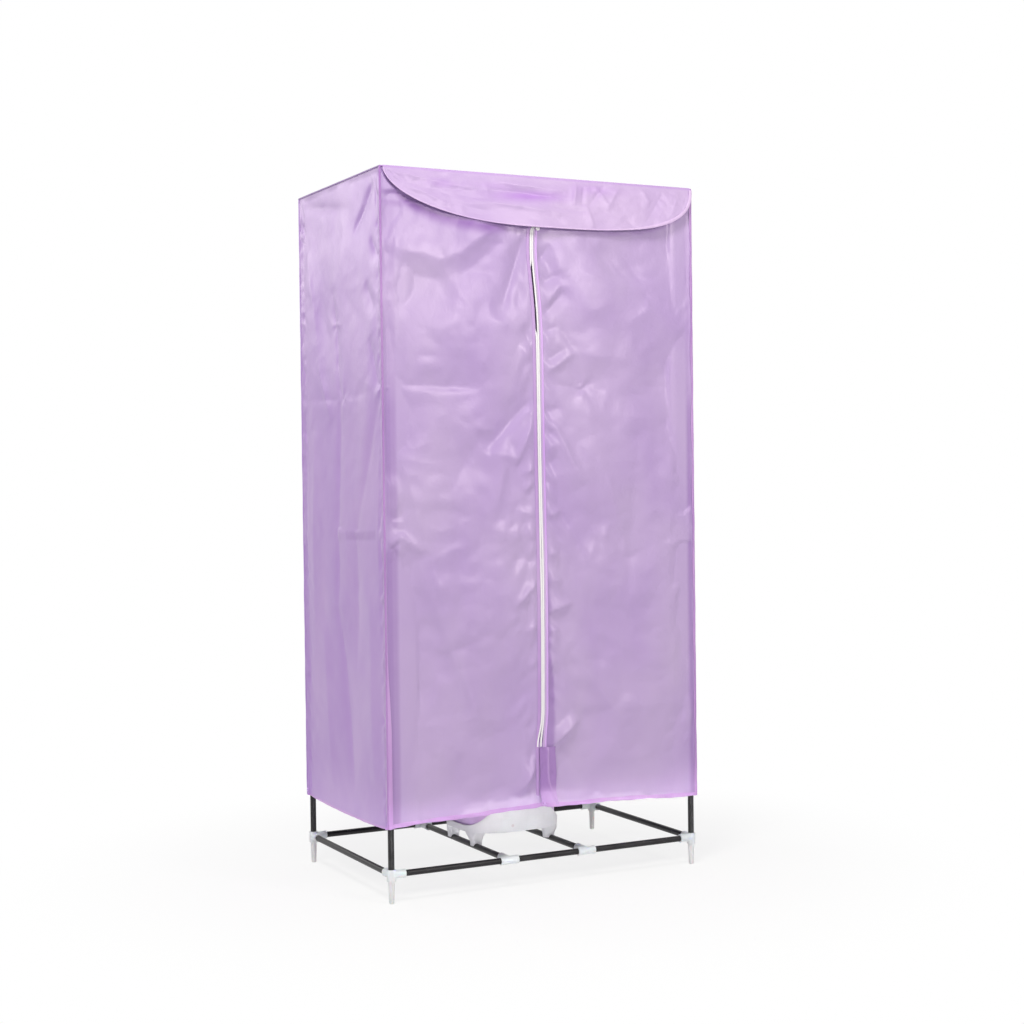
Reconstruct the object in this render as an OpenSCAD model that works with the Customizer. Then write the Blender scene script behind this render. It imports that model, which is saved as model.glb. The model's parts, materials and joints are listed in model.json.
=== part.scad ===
// Drying cabinet: a fabric cover over a plugged tube frame, with a fan heater on the base ring.
// Origin: centre of the footprint on the floor. +Z up, the front faces -Y. Millimetres.

/* [Cabinet] */
// Width over the side seams
cabinet_w = 750; // [660:10:860]
// Depth over the front and back seams
cabinet_d = 480; // [440:10:560]
// Height from the floor to the roof seam
cabinet_h = 1500; // [1350:10:1650]
// Height of the middle tier's tubes
mid_h = 755; // [700:5:860]
// Height of the cover's hem at the corners
hem_h = 155; // [135:5:180]

/* [Tubes] */
// Outside diameter of every tube
tube_d = 13; // [12:0.5:14]
// Wall of the tubes
tube_wall = 0.8; // [0.6:0.1:1.2]
// Height of the base ring's axis
ring_h = 60; // [52:1:64]
// Distance from the seams to the tubes' axes
tube_inset = 13; // [12.5:0.5:18]
// Distance between the axes of the two heater bars
bar_pitch = 186; // [176:2:196]

/* [Connectors] */
// Wall of a socket
socket_wall = 2; // [1.6:0.1:2.2]
// Extra thickness of the collar at a socket's mouth
collar_t = 0.5; // [0.2:0.1:0.6]
// Length of that collar
collar_l = 5; // [3:0.5:8]
// Radial play of a tube in its socket
socket_fit = 0.1; // [0.05:0.05:0.2]
// Reach of a corner socket from the corner's axis
socket_reach = 30; // [26:1:40]
// Distance from a connector's centre to its socket floors
socket_floor = 10.5; // [9.5:0.5:12]
// Plastic between the two posts in a middle joint
post_stop = 3; // [2:0.5:5]
// Length of a tee along the rail that it slips over
tee_l = 41; // [34:1:50]
// Reach of a tee's branch from the rail's axis
tee_reach = 38; // [32:1:46]
// Diameter of a leg at the top
leg_top_d = 14; // [13:0.5:16]
// Diameter of a leg above its rounded tip
leg_tip_d = 11; // [9:0.5:12.5]
// Radius of the leg's rounded tip
leg_round = 2.5; // [1.5:0.5:3.5]

/* [Cover] */
// Thickness of the cloth
cloth = 1; // [0.6:0.1:1.2]
// Diameter of the piping along the seams
piping_d = 4; // [3:0.5:5]
// Gap between a panel's edge and the piping
seam_gap = 0.05; // [0.02:0.01:0.2]
// Rise of the front hem between the corners
hem_rise = 17; // [0:1:30]
// Depth of the soft folds between the tiers
fold_depth = 6; // [2:1:9]
// Sag of the roof between the top rails
roof_sag = 2.4; // [0:0.2:2.8]

/* [Front flap] */
// Drop of the flap from the roof seam to its lowest edge
flap_drop = 103; // [90:1:130]
// Stand-off of the flap at its lowest edge
flap_stand = 12; // [10:1:18]
// Distance from the side seams to the flap's ends
flap_inset = 9; // [6:1:20]
// Gap between the front seam's piping and the flap
flap_gap = 0.5; // [0.4:0.1:1]
// Fullness of the flap's left end
flap_full_left = 2.3; // [2:0.1:4]
// Fullness of the flap's right end
flap_full_right = 3.2; // [2:0.1:4]

/* [Zip] */
// Place of the zip across the front
zip_x = -15; // [-60:1:60]
// Height of the zip's lower end
zip_low = 296; // [260:2:340]
// Distance below the roof seam at which the slider is parked when the cover is closed
slider_drop = 80; // [75:1:200]
// Gap between the two rows of coil
coil_gap = 1.2; // [1:0.1:1.6]
// Width of one row of coil
coil_w = 3; // [2.5:0.1:4]
// Thickness of the coil
coil_t = 2.6; // [2.2:0.1:3]
// Width of one tape
tape_w = 13; // [10:0.5:18]
// Thickness of the tape
tape_t = 0.5; // [0.4:0.1:0.6]
// Gap between the zip's coil and the edge of the cloth
coil_margin = 0.6; // [0.4:0.1:1.5]
// Width of the fly that closes the front under the zip
fly_w = 36; // [30:1:44]
// Gap between a fly and the cloth
fly_gap = 0.3; // [0.3:0.05:0.6]
// Length of the slider
slider_l = 12; // [9:0.5:16]
// Width of the slider
slider_w = 9; // [8:0.5:10]
// Thickness of each plate of the slider
slider_t = 1.4; // [1:0.1:1.6]
// Gap between the slider's plates and the coil
slider_fit = 0.3; // [0.3:0.05:0.5]
// Length of the pull
pull_l = 30; // [24:1:36]
// Width of the pull
pull_w = 10; // [8:0.5:12]
// Thickness of the pull
pull_t = 1.2; // [1:0.1:1.6]
// Radius of the pin that carries the pull
pull_pin_r = 0.8; // [0.6:0.1:0.9]
// Radial play of the pull on its pin
pull_fit = 0.1; // [0.05:0.05:0.15]

/* [Heater] */
// Half width of the heater's base
base_a = 118; // [114:1:124]
// Reach of the base towards the front
base_front = 112; // [104:1:120]
// Reach of the base towards the back
base_back = 98; // [92:1:110]
// Height of the base's lower edge
base_low = 92; // [88:1:96]
// Height of the base's rim at the sides
base_rim = 107; // [105:1:112]
// Height of the front fascia at its middle
fascia_h = 196; // [190:1:200]
// Wall of the moulded shells
shell = 2.5; // [2:0.1:3]
// Height of the housing's flat top
housing_top = 206; // [202:1:220]
// Radius of the housing's flat top
crown_r = 74; // [72:1:80]
// Radius of the air outlet
outlet_r = 62; // [56:1:66]
// Radius of the air intake
intake_r = 56; // [50:1:60]
// Height of the feet's tips
foot_low = 61; // [60:0.5:63]
// Play of the feet on the bars
foot_fit = 0.1; // [0.05:0.05:0.3]

/* [Fan and heat] */
// Radius of the motor
motor_r = 22; // [18:1:26]
// Height of the motor
motor_h = 34; // [28:1:38]
// Radius of the motor's shaft
shaft_r = 3; // [2.5:0.1:4]
// Radial play of the impeller on the shaft
shaft_fit = 0.05; // [0.02:0.01:0.1]
// Radius over the impeller's blades
fan_r = 50; // [42:1:52]
// Height of the impeller's blades
fan_h = 12; // [8:1:14]
// Number of blades
blades = 7; // [5:1:9]
// Length of the heating element
element_l = 104; // [90:2:110]
// Width of the heating element
element_w = 84; // [70:2:90]
// Height of the heating element
element_h = 14; // [10:1:16]
// Number of its fins
fins = 13; // [9:1:19]

/* [Controls] */
// Place of the timer across the front
knob_x = 8; // [-20:1:20]
// Height of the timer's shaft
knob_h = 168; // [164:1:172]
// Radius of the timer's knob
knob_r = 17; // [14:0.5:19]
// Depth of the knob
knob_t = 15; // [12:0.5:18]
// Radius of the timer's shaft
timer_shaft_r = 3; // [2.5:0.1:3.5]
// Radial play round the timer's shaft
timer_fit = 0.06; // [0.04:0.01:0.1]
// Place of the lamp across the front
lamp_x = -25; // [-40:1:-15]
// Height of the lamp
lamp_h = 106; // [103:1:110]
// Radius of the lamp's lens
lamp_r = 3.2; // [2.5:0.1:4]
// Radius of the mains cord's hole
cord_hole_r = 3.6; // [3:0.1:4.5]
// Height of the mains cord's gland
gland_h = 118; // [116:1:124]
// Radius of the gland's barrel
gland_r = 7; // [6:0.5:8]
// Radius of the housing screws
screw_r = 2; // [1.5:0.1:2.5]
// Radius of the bosses that the housing screws bite into
boss_r = 4.5; // [4:0.1:6]
// Distance of the housing screws from the middle, along X and along Y
screw_off = 62; // [60:1:64]

/* [Hidden] */
$fn = 48;

TUBE = [0.24, 0.24, 0.25];
WHITE = [0.94, 0.94, 0.95];
LILAC = [0.77, 0.68, 0.85];
PINK = [0.80, 0.55, 0.86];
SHELL = [0.67, 0.56, 0.75];
METAL = [0.72, 0.73, 0.75];
DARK = [0.16, 0.16, 0.17];

small = 0.01;
tube_r = tube_d / 2;
bore_r = tube_r + socket_fit;
socket_r = bore_r + socket_wall;
collar_r = socket_r + collar_t;
post_x = cabinet_w / 2 - tube_inset;
post_y = cabinet_d / 2 - tube_inset;
top_h = cabinet_h - tube_inset;
bar_x = bar_pitch / 2;

piping_r = piping_d / 2;
seam_x = cabinet_w / 2 - piping_r;
seam_y = cabinet_d / 2 - piping_r;
seam_z = cabinet_h - piping_r;
panel_reach = piping_r + seam_gap;

/* ---- directions of a corner: -1 or 1 along X and Y ---- */
module at_corner(sx, sy) {
  translate([sx * post_x, sy * post_y, 0])
    mirror([sx > 0 ? 1 : 0, 0, 0])
      mirror([0, sy > 0 ? 1 : 0, 0])
        children();
}

/* ---- tubes ---- */
// A tube along +Z, from 0 to its length
module tube(length) {
  color(TUBE)
    difference() {
      cylinder(r = tube_r, h = length);
      translate([0, 0, -1]) cylinder(r = tube_r - tube_wall, h = length + 2);
    }
}

module tube_x(length, y, z) {
  translate([-length / 2, y, z]) rotate([0, 90, 0]) tube(length);
}

module tube_y(length, x, z) {
  translate([x, length / 2, z]) rotate([90, 0, 0]) tube(length);
}

module post(sx, sy, low, high) {
  translate([sx * post_x, sy * post_y, low]) tube(high - low);
}

/* ---- plastic connectors ---- */
// The outside of one socket along +Z, with its collar at the mouth
module socket_body(reach) {
  cylinder(r = socket_r, h = reach);
  translate([0, 0, reach - collar_l]) cylinder(r = collar_r, h = collar_l);
}

module socket_bore(reach, floor) {
  translate([0, 0, floor]) cylinder(r = bore_r, h = reach - floor + 1);
}

module toward_x() { rotate([0, 90, 0]) children(); }
module toward_y() { rotate([-90, 0, 0]) children(); }
module toward_down() { rotate([180, 0, 0]) children(); }

// A leg: a taper that ends in a rounded tip on the floor
module leg(top) {
  tip_r = leg_tip_d / 2;
  arc = [for (a = [0 : 15 : 90])
    [tip_r - leg_round + leg_round * sin(a), leg_round - leg_round * cos(a)]];
  rotate_extrude()
    polygon(concat([[0, 0]], arc, [[leg_top_d / 2, top], [0, top]]));
}

// Bottom corner: a post drops in from above, two rails plug in from the sides, a leg stands below
module corner_foot(sx, sy) {
  block_r = collar_r + 0.4;
  color(WHITE)
    at_corner(sx, sy)
      difference() {
        union() {
          translate([0, 0, ring_h - socket_floor - post_stop])
            cylinder(r = block_r, h = 2 * socket_floor + post_stop);
          translate([0, 0, ring_h]) toward_x() socket_body(socket_reach);
          translate([0, 0, ring_h]) toward_y() socket_body(socket_reach);
          leg(ring_h - socket_floor);
        }
        translate([0, 0, ring_h - 2 * socket_floor]) socket_bore(3 * socket_floor, socket_floor);
        translate([0, 0, ring_h]) toward_x() socket_bore(socket_reach, socket_floor);
        translate([0, 0, ring_h]) toward_y() socket_bore(socket_reach, socket_floor);
      }
}

// Middle joint: a lower and an upper post meet in one sleeve, a side rail plugs in
module mid_joint(sx, sy) {
  color(WHITE)
    at_corner(sx, sy)
      translate([0, 0, mid_h])
        difference() {
          union() {
            socket_body(socket_reach);
            toward_down() socket_body(socket_reach);
            toward_y() socket_body(socket_reach);
          }
          socket_bore(socket_reach, post_stop / 2);
          toward_down() socket_bore(socket_reach, post_stop / 2);
          toward_y() socket_bore(socket_reach, socket_floor);
        }
}

// Top corner: three sockets, down, along X and along Y
module top_corner(sx, sy) {
  color(WHITE)
    at_corner(sx, sy)
      translate([0, 0, top_h])
        difference() {
          union() {
            sphere(r = collar_r);
            toward_down() socket_body(socket_reach);
            toward_x() socket_body(socket_reach);
            toward_y() socket_body(socket_reach);
          }
          toward_down() socket_bore(socket_reach, socket_floor);
          toward_x() socket_bore(socket_reach, socket_floor);
          toward_y() socket_bore(socket_reach, socket_floor);
        }
}

// A tee slips over a rail along X and takes a second tube in its branch along +Y
module tee() {
  difference() {
    union() {
      translate([-tee_l / 2, 0, 0]) toward_x() cylinder(r = socket_r, h = tee_l);
      for (side = [-1, 1])
        translate([side * (tee_l - collar_l) / 2 - collar_l / 2, 0, 0])
          toward_x() cylinder(r = collar_r, h = collar_l);
      toward_y() socket_body(tee_reach);
    }
    translate([-tee_l / 2 - 1, 0, 0]) toward_x() cylinder(r = bore_r, h = tee_l + 2);
    toward_y() socket_bore(tee_reach, socket_floor);
  }
}

// Four tees on the base ring hold the heater bars, four on the side rails hold the hanging rods
module rail_tees() {
  color(WHITE) {
    for (sx = [-1, 1])
      for (sy = [-1, 1])
        translate([sx * bar_x, sy * post_y, ring_h]) rotate(sy < 0 ? 0 : 180) tee();
    for (sx = [-1, 1])
      for (h = [mid_h, top_h])
        translate([sx * post_x, 0, h]) rotate(sx < 0 ? -90 : 90) tee();
  }
}

/* ---- cloth ---- */
function bell(u) = sin(180 * u);
function clamp(v) = min(1, max(0, v));

// 0 at the middle and top tiers, where the cloth lies on the frame, 1 between them and at the hem
function between_tiers(z) =
  z < mid_h ? cos(90 * clamp((z - hem_h) / (mid_h - hem_h)))
            : sin(180 * clamp((z - mid_h) / (top_h - mid_h)));

// Rise of the front hem at x: highest left of the middle
function front_hem(x) = hem_h + hem_rise * bell(pow(clamp((x + seam_x) / (2 * seam_x)), 0.8));

// How far the cloth lies inward of its seam plane. u runs across a panel from 0 to 1.
function side_fold(u, z) =
  bell(u) * between_tiers(z) * fold_depth * (0.55 + 0.45 * sin(360 * (2.2 * u + z / 2600)));

function front_fold(u, z) =
  bell(min(1, u)) * fold_depth * (0.35 * sin(360 * (z / 1500 + 0.6 * u)) + 0.35 * sin(360 * (1.6 * u - z / 900)))
  * bell(clamp((seam_z - z) / (seam_z - hem_h) * 0.9));

function back_fold(u, z) =
  -bell(u) * fold_depth * 0.5 * (0.6 + 0.4 * sin(360 * (2 * u + z / 1300)))
  * bell(clamp((seam_z - z) / (seam_z - hem_h) * 0.9));

function roof_fold(u, v) = roof_sag * bell(u) * bell(v) * (0.85 + 0.15 * cos(720 * u));

// A closed sheet between an outer grid and an inner grid of points, rows by columns.
// Both grids are lists of rows; the outer one is on the side that the rows, taken in
// order, and the columns turn towards.
module sheet(outer, inner) {
  rows = len(outer);
  cols = len(outer[0]);
  shift = rows * cols;
  points = concat([for (row = outer) for (p = row) p], [for (row = inner) for (p = row) p]);
  function at(r, c) = r * cols + c;
  cells = [for (r = [0 : rows - 2]) for (c = [0 : cols - 2])
    [at(r, c), at(r, c + 1), at(r + 1, c + 1), at(r + 1, c)]];
  front = [for (q = cells) each [[q[0], q[2], q[1]], [q[0], q[3], q[2]]]];
  back = [for (t = front) [t[2] + shift, t[1] + shift, t[0] + shift]];
  rim = concat(
    [for (c = [0 : cols - 1]) at(0, c)],
    [for (r = [1 : rows - 1]) at(r, cols - 1)],
    [for (c = [cols - 2 : -1 : 0]) at(rows - 1, c)],
    [for (r = [rows - 2 : -1 : 1]) at(r, 0)]
  );
  n = len(rim);
  edge = [for (i = [0 : n - 1])
    each [
      [rim[i], rim[(i + 1) % n], rim[(i + 1) % n] + shift],
      [rim[i], rim[(i + 1) % n] + shift, rim[i] + shift]
    ]];
  polyhedron(points, concat(front, back, edge));
}

// Steps of u, a share of the panel's width, from 0 to 1
function even(count) = [for (i = [0 : count]) i / count];

// An upright panel across local X from x0 to x1, its outside facing -Y, its mid plane at y = 0.
// Its columns stand at the shares us of the way from x0 to x1, and may run on past x1.
// low(x) gives its lower edge and fold(u, z) its depth.
module upright_panel(x0, x1, high, us, up, low, fold) {
  function place(u, j, side) =
    let (x = x0 + (x1 - x0) * u, z = low(x) + (high - low(x)) * j / up)
    [x, fold(u, z) + side * cloth / 2, z];
  sheet(
    [for (j = [0 : up]) [for (u = us) place(u, j, -1)]],
    [for (j = [0 : up]) [for (u = us) place(u, j, 1)]]
  );
}

straight_hem = function(x) hem_h;
panel_high = seam_z - panel_reach;
side_half = seam_y - panel_reach;
front_half = seam_x - panel_reach;

module cover_left_panel() {
  color(LILAC)
    translate([-seam_x, 0, 0]) rotate(-90)
      upright_panel(-side_half, side_half, panel_high, even(10), 22, straight_hem,
        function(u, z) side_fold(u, z));
}

module cover_right_panel() {
  color(LILAC)
    translate([seam_x, 0, 0]) rotate(90)
      upright_panel(-side_half, side_half, panel_high, even(10), 22, straight_hem,
        function(u, z) side_fold(u, z));
}

module cover_back_panel() {
  color(LILAC)
    translate([0, seam_y, 0]) rotate(180)
      upright_panel(-front_half, front_half, panel_high, even(14), 18, straight_hem,
        function(u, z) back_fold(u, z));
}

// Half the gap between the two front panels, and the flat strip of each beside it, which covers
// the zip's tape and the flies
zip_half = coil_gap / 2 + coil_w + coil_margin;
zip_flat = max(fly_w / 2, coil_gap / 2 + coil_w + tape_w) - zip_half + 3;

// One front panel: folds run from the corner seam, at side * front_half, to the flat strip
module front_panel(side) {
  width = front_half + side * -zip_x - zip_half - zip_flat;
  us = concat(even(11), [1 + zip_flat / width]);
  columns = side < 0 ? us : [for (i = [len(us) - 1 : -1 : 0]) us[i]];
  color(LILAC)
    translate([0, -seam_y, 0])
      upright_panel(side * front_half, side * (front_half - width), panel_high, columns, 22,
        function(x) front_hem(x), function(u, z) front_fold(u, z));
}

module cover_front_left_panel() { front_panel(-1); }
module cover_front_right_panel() { front_panel(1); }

module cover_roof() {
  across = 12;
  deep = 8;
  roof_half_y = seam_y - panel_reach;
  function place(i, j, side) =
    let (u = i / across, v = j / deep)
    [front_half * (2 * u - 1), roof_half_y * (2 * v - 1), seam_z - roof_fold(u, v) + side * cloth / 2];
  color(LILAC)
    sheet(
      [for (j = [0 : deep]) [for (i = [0 : across]) place(i, j, 1)]],
      [for (j = [0 : deep]) [for (i = [0 : across]) place(i, j, -1)]]
    );
}

// Piping in the four upright seams and round the roof
module edge_piping() {
  knot = piping_r + 0.2;
  color(PINK) {
    for (sx = [-1, 1])
      for (sy = [-1, 1])
        translate([sx * seam_x, sy * seam_y, 0]) {
          translate([0, 0, hem_h]) cylinder(r = piping_r, h = seam_z - hem_h, $fn = 24);
          translate([0, 0, seam_z]) sphere(r = knot, $fn = 24);
        }
    for (sy = [-1, 1])
      translate([-seam_x, sy * seam_y, seam_z]) toward_x() cylinder(r = piping_r, h = 2 * seam_x, $fn = 24);
    for (sx = [-1, 1])
      translate([sx * seam_x, -seam_y, seam_z]) toward_y() cylinder(r = piping_r, h = 2 * seam_y, $fn = 24);
  }
}

/* ---- front flap ---- */
flap_y = -(cabinet_d / 2 + flap_gap + cloth / 2);
flap_axis_z = cabinet_h + flap_gap;
flap_half = cabinet_w / 2 - flap_inset;
flap_least = 6;

// Drop of the flap's lower edge at x: a full curve that closes towards both ends
function flap_edge(x) =
  let (s = clamp(abs(x) / flap_half), n = x < 0 ? flap_full_left : flap_full_right)
  max(flap_least, flap_drop * pow(max(0, 1 - pow(s, n)), 1 / (n - 0.4)));

function flap_off(drop, x) = flap_stand * pow(drop / flap_drop, 1.5);

module front_flap() {
  across = 28;
  down = 5;
  root = 1;
  function place(i, j, side) =
    let (x = -flap_half * cos(180 * i / across), v = j / down, drop = root + (flap_edge(x) - root) * v)
    [x, flap_y - flap_off(drop, x) - side * cloth / 2, flap_axis_z - drop];
  color(LILAC)
    sheet(
      [for (j = [down : -1 : 0]) [for (i = [0 : across]) place(i, j, 1)]],
      [for (j = [down : -1 : 0]) [for (i = [0 : across]) place(i, j, -1)]]
    );
}

/* ---- zip ---- */
// Places across the zip are measured from its middle, places through it from the cloth's mid plane,
// outward positive. A box between two such corners, from one height to another:
module zip_box(x0, x1, out0, out1, z0, z1) {
  translate([zip_x + x0, -seam_y - out1, z0]) cube([x1 - x0, out1 - out0, z1 - z0]);
}

tape_low = -(cloth / 2 + 0.2 + tape_t);
tape_high = -(cloth / 2 + 0.2);
fly_near = cloth / 2 + fly_gap;
fly_far = fly_near + 0.8;
fly_tab = 6;
fly_high = zip_low - 1;
zip_high = panel_high - 6;

// One half of the zip: coil, tape behind the cloth, and below them the fly.
// side is -1 for the left half, 1 for the right; the left fly lies behind the cloth, the right one in front.
module zip_row(side) {
  coil_0 = coil_gap / 2;
  coil_1 = coil_0 + coil_w;
  tape_1 = coil_1 + tape_w;
  low = front_hem(zip_x);
  module half(a, b, out0, out1, z0, z1) {
    zip_box(min(side * a, side * b), max(side * a, side * b), out0, out1, z0, z1);
  }
  half(coil_0, coil_1, -coil_t / 2, coil_t / 2, zip_low, zip_high);
  half(coil_1 - 0.5, tape_1, tape_low, tape_high, zip_low, zip_high);
  out = side > 0 ? [fly_near, fly_far] : [-fly_far, -fly_near];
  half(-fly_w / 2, fly_w / 2, out[0], out[1], low, fly_high);
  half(coil_0, coil_1, out[0], out[1], fly_high - 1, zip_low + fly_tab);
}

module zip_left() { color(WHITE) zip_row(-1); }
module zip_right() { color(WHITE) zip_row(1); }

slider_h = cabinet_h - slider_drop;
plate_in = coil_t / 2 + slider_fit;
plate_out = plate_in + slider_t;
web_half = coil_gap / 2 - 0.25;
pin_out = plate_out + pull_pin_r + pull_fit + 0.7;
lug_t = 1.2;

// Two plates on a web that runs in the gap between the coils, with two lugs and a pin for the pull
module zip_slider() {
  color(WHITE) {
    for (out0 = [-plate_out, plate_in])
      zip_box(-slider_w / 2, slider_w / 2, out0, out0 + slider_t, slider_h - slider_l / 2, slider_h + slider_l / 2);
    zip_box(-web_half, web_half, -plate_in - small, plate_in + small, slider_h, slider_h + slider_l / 2);
    for (side = [-1, 1])
      translate([side * (slider_w - lug_t) / 2, 0, 0])
        zip_box(-lug_t / 2, lug_t / 2, plate_out - small, pin_out + pull_pin_r, slider_h - 2, slider_h + 2);
    translate([zip_x - slider_w / 2, -seam_y - pin_out, slider_h]) toward_x() cylinder(r = pull_pin_r, h = slider_w);
  }
}

// The pull: an eye on the slider's pin and a flat tab with a round end
module zip_pull() {
  eye_w = slider_w - 2 * lug_t - 0.6;
  eye_r = pull_pin_r + pull_fit + 0.6;
  color(WHITE)
    translate([zip_x, -seam_y - pin_out, slider_h])
      difference() {
        union() {
          translate([-eye_w / 2, 0, 0]) toward_x() cylinder(r = eye_r, h = eye_w);
          translate([-eye_w / 2, -pull_t / 2, -pull_l / 2]) cube([eye_w, pull_t, pull_l / 2]);
          translate([-pull_w / 2, -pull_t / 2, -pull_l + pull_w / 2]) cube([pull_w, pull_t, pull_l / 2]);
          translate([0, pull_t / 2, -pull_l + pull_w / 2]) rotate([90, 0, 0]) cylinder(d = pull_w, h = pull_t);
        }
        translate([-eye_w / 2 - 1, 0, 0]) toward_x() cylinder(r = pull_pin_r + pull_fit, h = eye_w + 2);
      }
}

/* ---- heater: moulded shells ---- */
turns = 60;
plan_n = 3;

// Radius of the heater's plan at angle t: a rounded square that bows out at the front
function plan_r(t, scale, n = plan_n) =
  let (b = sin(t) < 0 ? base_front : base_back)
  scale / pow(pow(abs(cos(t)) / base_a, n) + pow(abs(sin(t)) / b, n), 1 / n);

function polar(r, t, z) = [r * cos(t), r * sin(t), z];

// Angle away from the front, from 0 to 180
function from_front(t) = abs((t + 90 + 180) % 360 - 180);

// Height of the base's rim: level at the sides and back, arched up to the fascia's middle at the front
function rim_h(t) =
  let (a = min(1, from_front(t) / 68))
  base_rim + (fascia_h - base_rim) * pow(0.5 + 0.5 * cos(180 * a), 1.35);

// A closed ring of revolution-like shape: each section is a closed loop of [radius, height] at its angle
module ring_shell(sections) {
  n = len(sections);
  m = len(sections[0]);
  points = [for (i = [0 : n - 1]) for (p = sections[i]) polar(p[0], 360 * i / n, p[1])];
  function at(i, j) = (i % n) * m + (j % m);
  faces = [for (i = [0 : n - 1]) for (j = [0 : m - 1])
    each [
      [at(i, j), at(i + 1, j + 1), at(i + 1, j)],
      [at(i, j), at(i, j + 1), at(i + 1, j + 1)]
    ]];
  polyhedron(points, faces);
}

floor_t = 3;
floor_low = base_low + 2;
floor_high = floor_low + floor_t;

// Outer scale of the base's wall, which leans out a little towards its rim
function wall_scale(z) = 0.985 + 0.015 * clamp((z - base_low) / 30);

module base_wall() {
  ring_shell([for (i = [0 : turns - 1])
    let (t = 360 * i / turns, top = rim_h(t), mid = base_low + (top - base_low) * 0.5)
    [
      [plan_r(t, wall_scale(base_low)), base_low],
      [plan_r(t, wall_scale(mid)), mid],
      [plan_r(t, wall_scale(top)), top],
      [plan_r(t, wall_scale(top)) - shell, top],
      [plan_r(t, wall_scale(mid)) - shell, mid],
      [plan_r(t, wall_scale(base_low)) - shell, base_low]
    ]]);
}

// The plan of the base at its lower edge, drawn in by a margin
function base_outline(margin) = [for (i = [0 : turns - 1])
  let (t = 360 * i / turns, r = plan_r(t, wall_scale(base_low)) - margin)
  [r * cos(t), r * sin(t)]];

module base_floor() {
  translate([0, 0, floor_low]) linear_extrude(floor_t) polygon(base_outline(shell / 2));
}

foot_y = 60;
foot_seat = tube_r + foot_fit;

// One foot: tapers from the wall down to a tip that straddles its bar
module base_foot(sx, sy) {
  intersection() {
    hull() {
      translate([sx * (bar_x - 1) - 22, sy * foot_y - 20, floor_low]) cube([44, 40, 1]);
      translate([sx * (bar_x - 3) - 13, sy * (foot_y - 1) - 10, foot_low]) cube([26, 20, 1]);
    }
    translate([0, 0, foot_low - 1]) linear_extrude(floor_high - foot_low) polygon(base_outline(0));
  }
}

fascia_y = -plan_r(270, 1);
lamp_turn = asin(lamp_x / base_front);
lamp_y = -plan_r(270 + lamp_turn, wall_scale(lamp_h)) * cos(lamp_turn);

module heater_base() {
  color(WHITE)
    difference() {
      union() {
        base_wall();
        base_floor();
        for (sx = [-1, 1]) for (sy = [-1, 1]) base_foot(sx, sy);
      }
      for (sx = [-1, 1])
        translate([sx * bar_x, -150, ring_h]) toward_y() cylinder(r = foot_seat, h = 300);
      translate([0, 0, foot_low]) cylinder(r = intake_r, h = floor_high - foot_low + 1);
      translate([knob_x, fascia_y - 5, knob_h]) toward_y() cylinder(r = timer_shaft_r + 1, h = 20);
      translate([lamp_x, fascia_y - 5, lamp_h]) toward_y() cylinder(r = lamp_r + 0.1, h = 20);
      at_screws(floor_low - 1) cylinder(r = screw_r + 0.2, h = floor_t + 2);
    }
}

// Plan of the housing from its foot (0) to its crown (1), where it ends in a circle
housing_low = floor_high;
housing_scale = 0.945;
housing_span = housing_top - housing_low;
function dome(v) = sqrt(max(0, 1 - pow(v, 3)));
function housing_r(t, v, wall) =
  let (foot = plan_r(t, housing_scale), k = dome(v))
  crown_r + (foot - crown_r) * k - wall;

// Height of the housing's outside above a point at radius r and angle t
function housing_z(t, r) =
  let (k = clamp((r - crown_r) / (plan_r(t, housing_scale) - crown_r)))
  housing_low + housing_span * pow(1 - k * k, 1 / 3);

function part_way(z) = (z - housing_low) / housing_span;

module at_screws(z) {
  for (sx = [-1, 1])
    for (sy = [-1, 1])
      translate([sx * screw_off, sy * screw_off, z]) children();
}

// A block inside the housing's front wall, with a flat back for the timer
module timer_pad() {
  hull()
    for (z = [knob_h - pad_half, knob_h + pad_half - 1])
      let (wall_y = housing_r(270, part_way(z), shell / 2))
        translate([knob_x - pad_half, -wall_y, z]) cube([2 * pad_half, wall_y + pad_y, 1]);
}

module heater_housing() {
  boss_top = housing_z(45, screw_off * sqrt(2) + boss_r) - 0.5;
  steps = [0, 0.3, 0.5, 0.65, 0.78, 0.88, 0.95, 1];
  color(SHELL)
    difference() {
      union() {
        ring_shell([for (i = [0 : turns - 1])
          let (t = 360 * i / turns)
          concat(
            [for (v = steps) [housing_r(t, v, 0), housing_low + housing_span * v]],
            [[outlet_r, housing_top], [outlet_r, housing_top - shell]],
            [for (k = [len(steps) - 1 : -1 : 0])
              let (v = steps[k]) [housing_r(t, v, shell), housing_low + (housing_span - shell) * v]]
          )]);
        timer_pad();
        at_screws(housing_low) cylinder(r = boss_r, h = boss_top - housing_low);
      }
      at_screws(housing_low - 1) cylinder(r = screw_r, h = screw_bite + 2);
      translate([knob_x, fascia_y - 5, knob_h]) toward_y() cylinder(r = timer_shaft_r + 1, h = 40);
      translate([0, gland_y - 12, gland_h]) toward_y() cylinder(r = gland_r, h = 24);
    }
}

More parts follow.
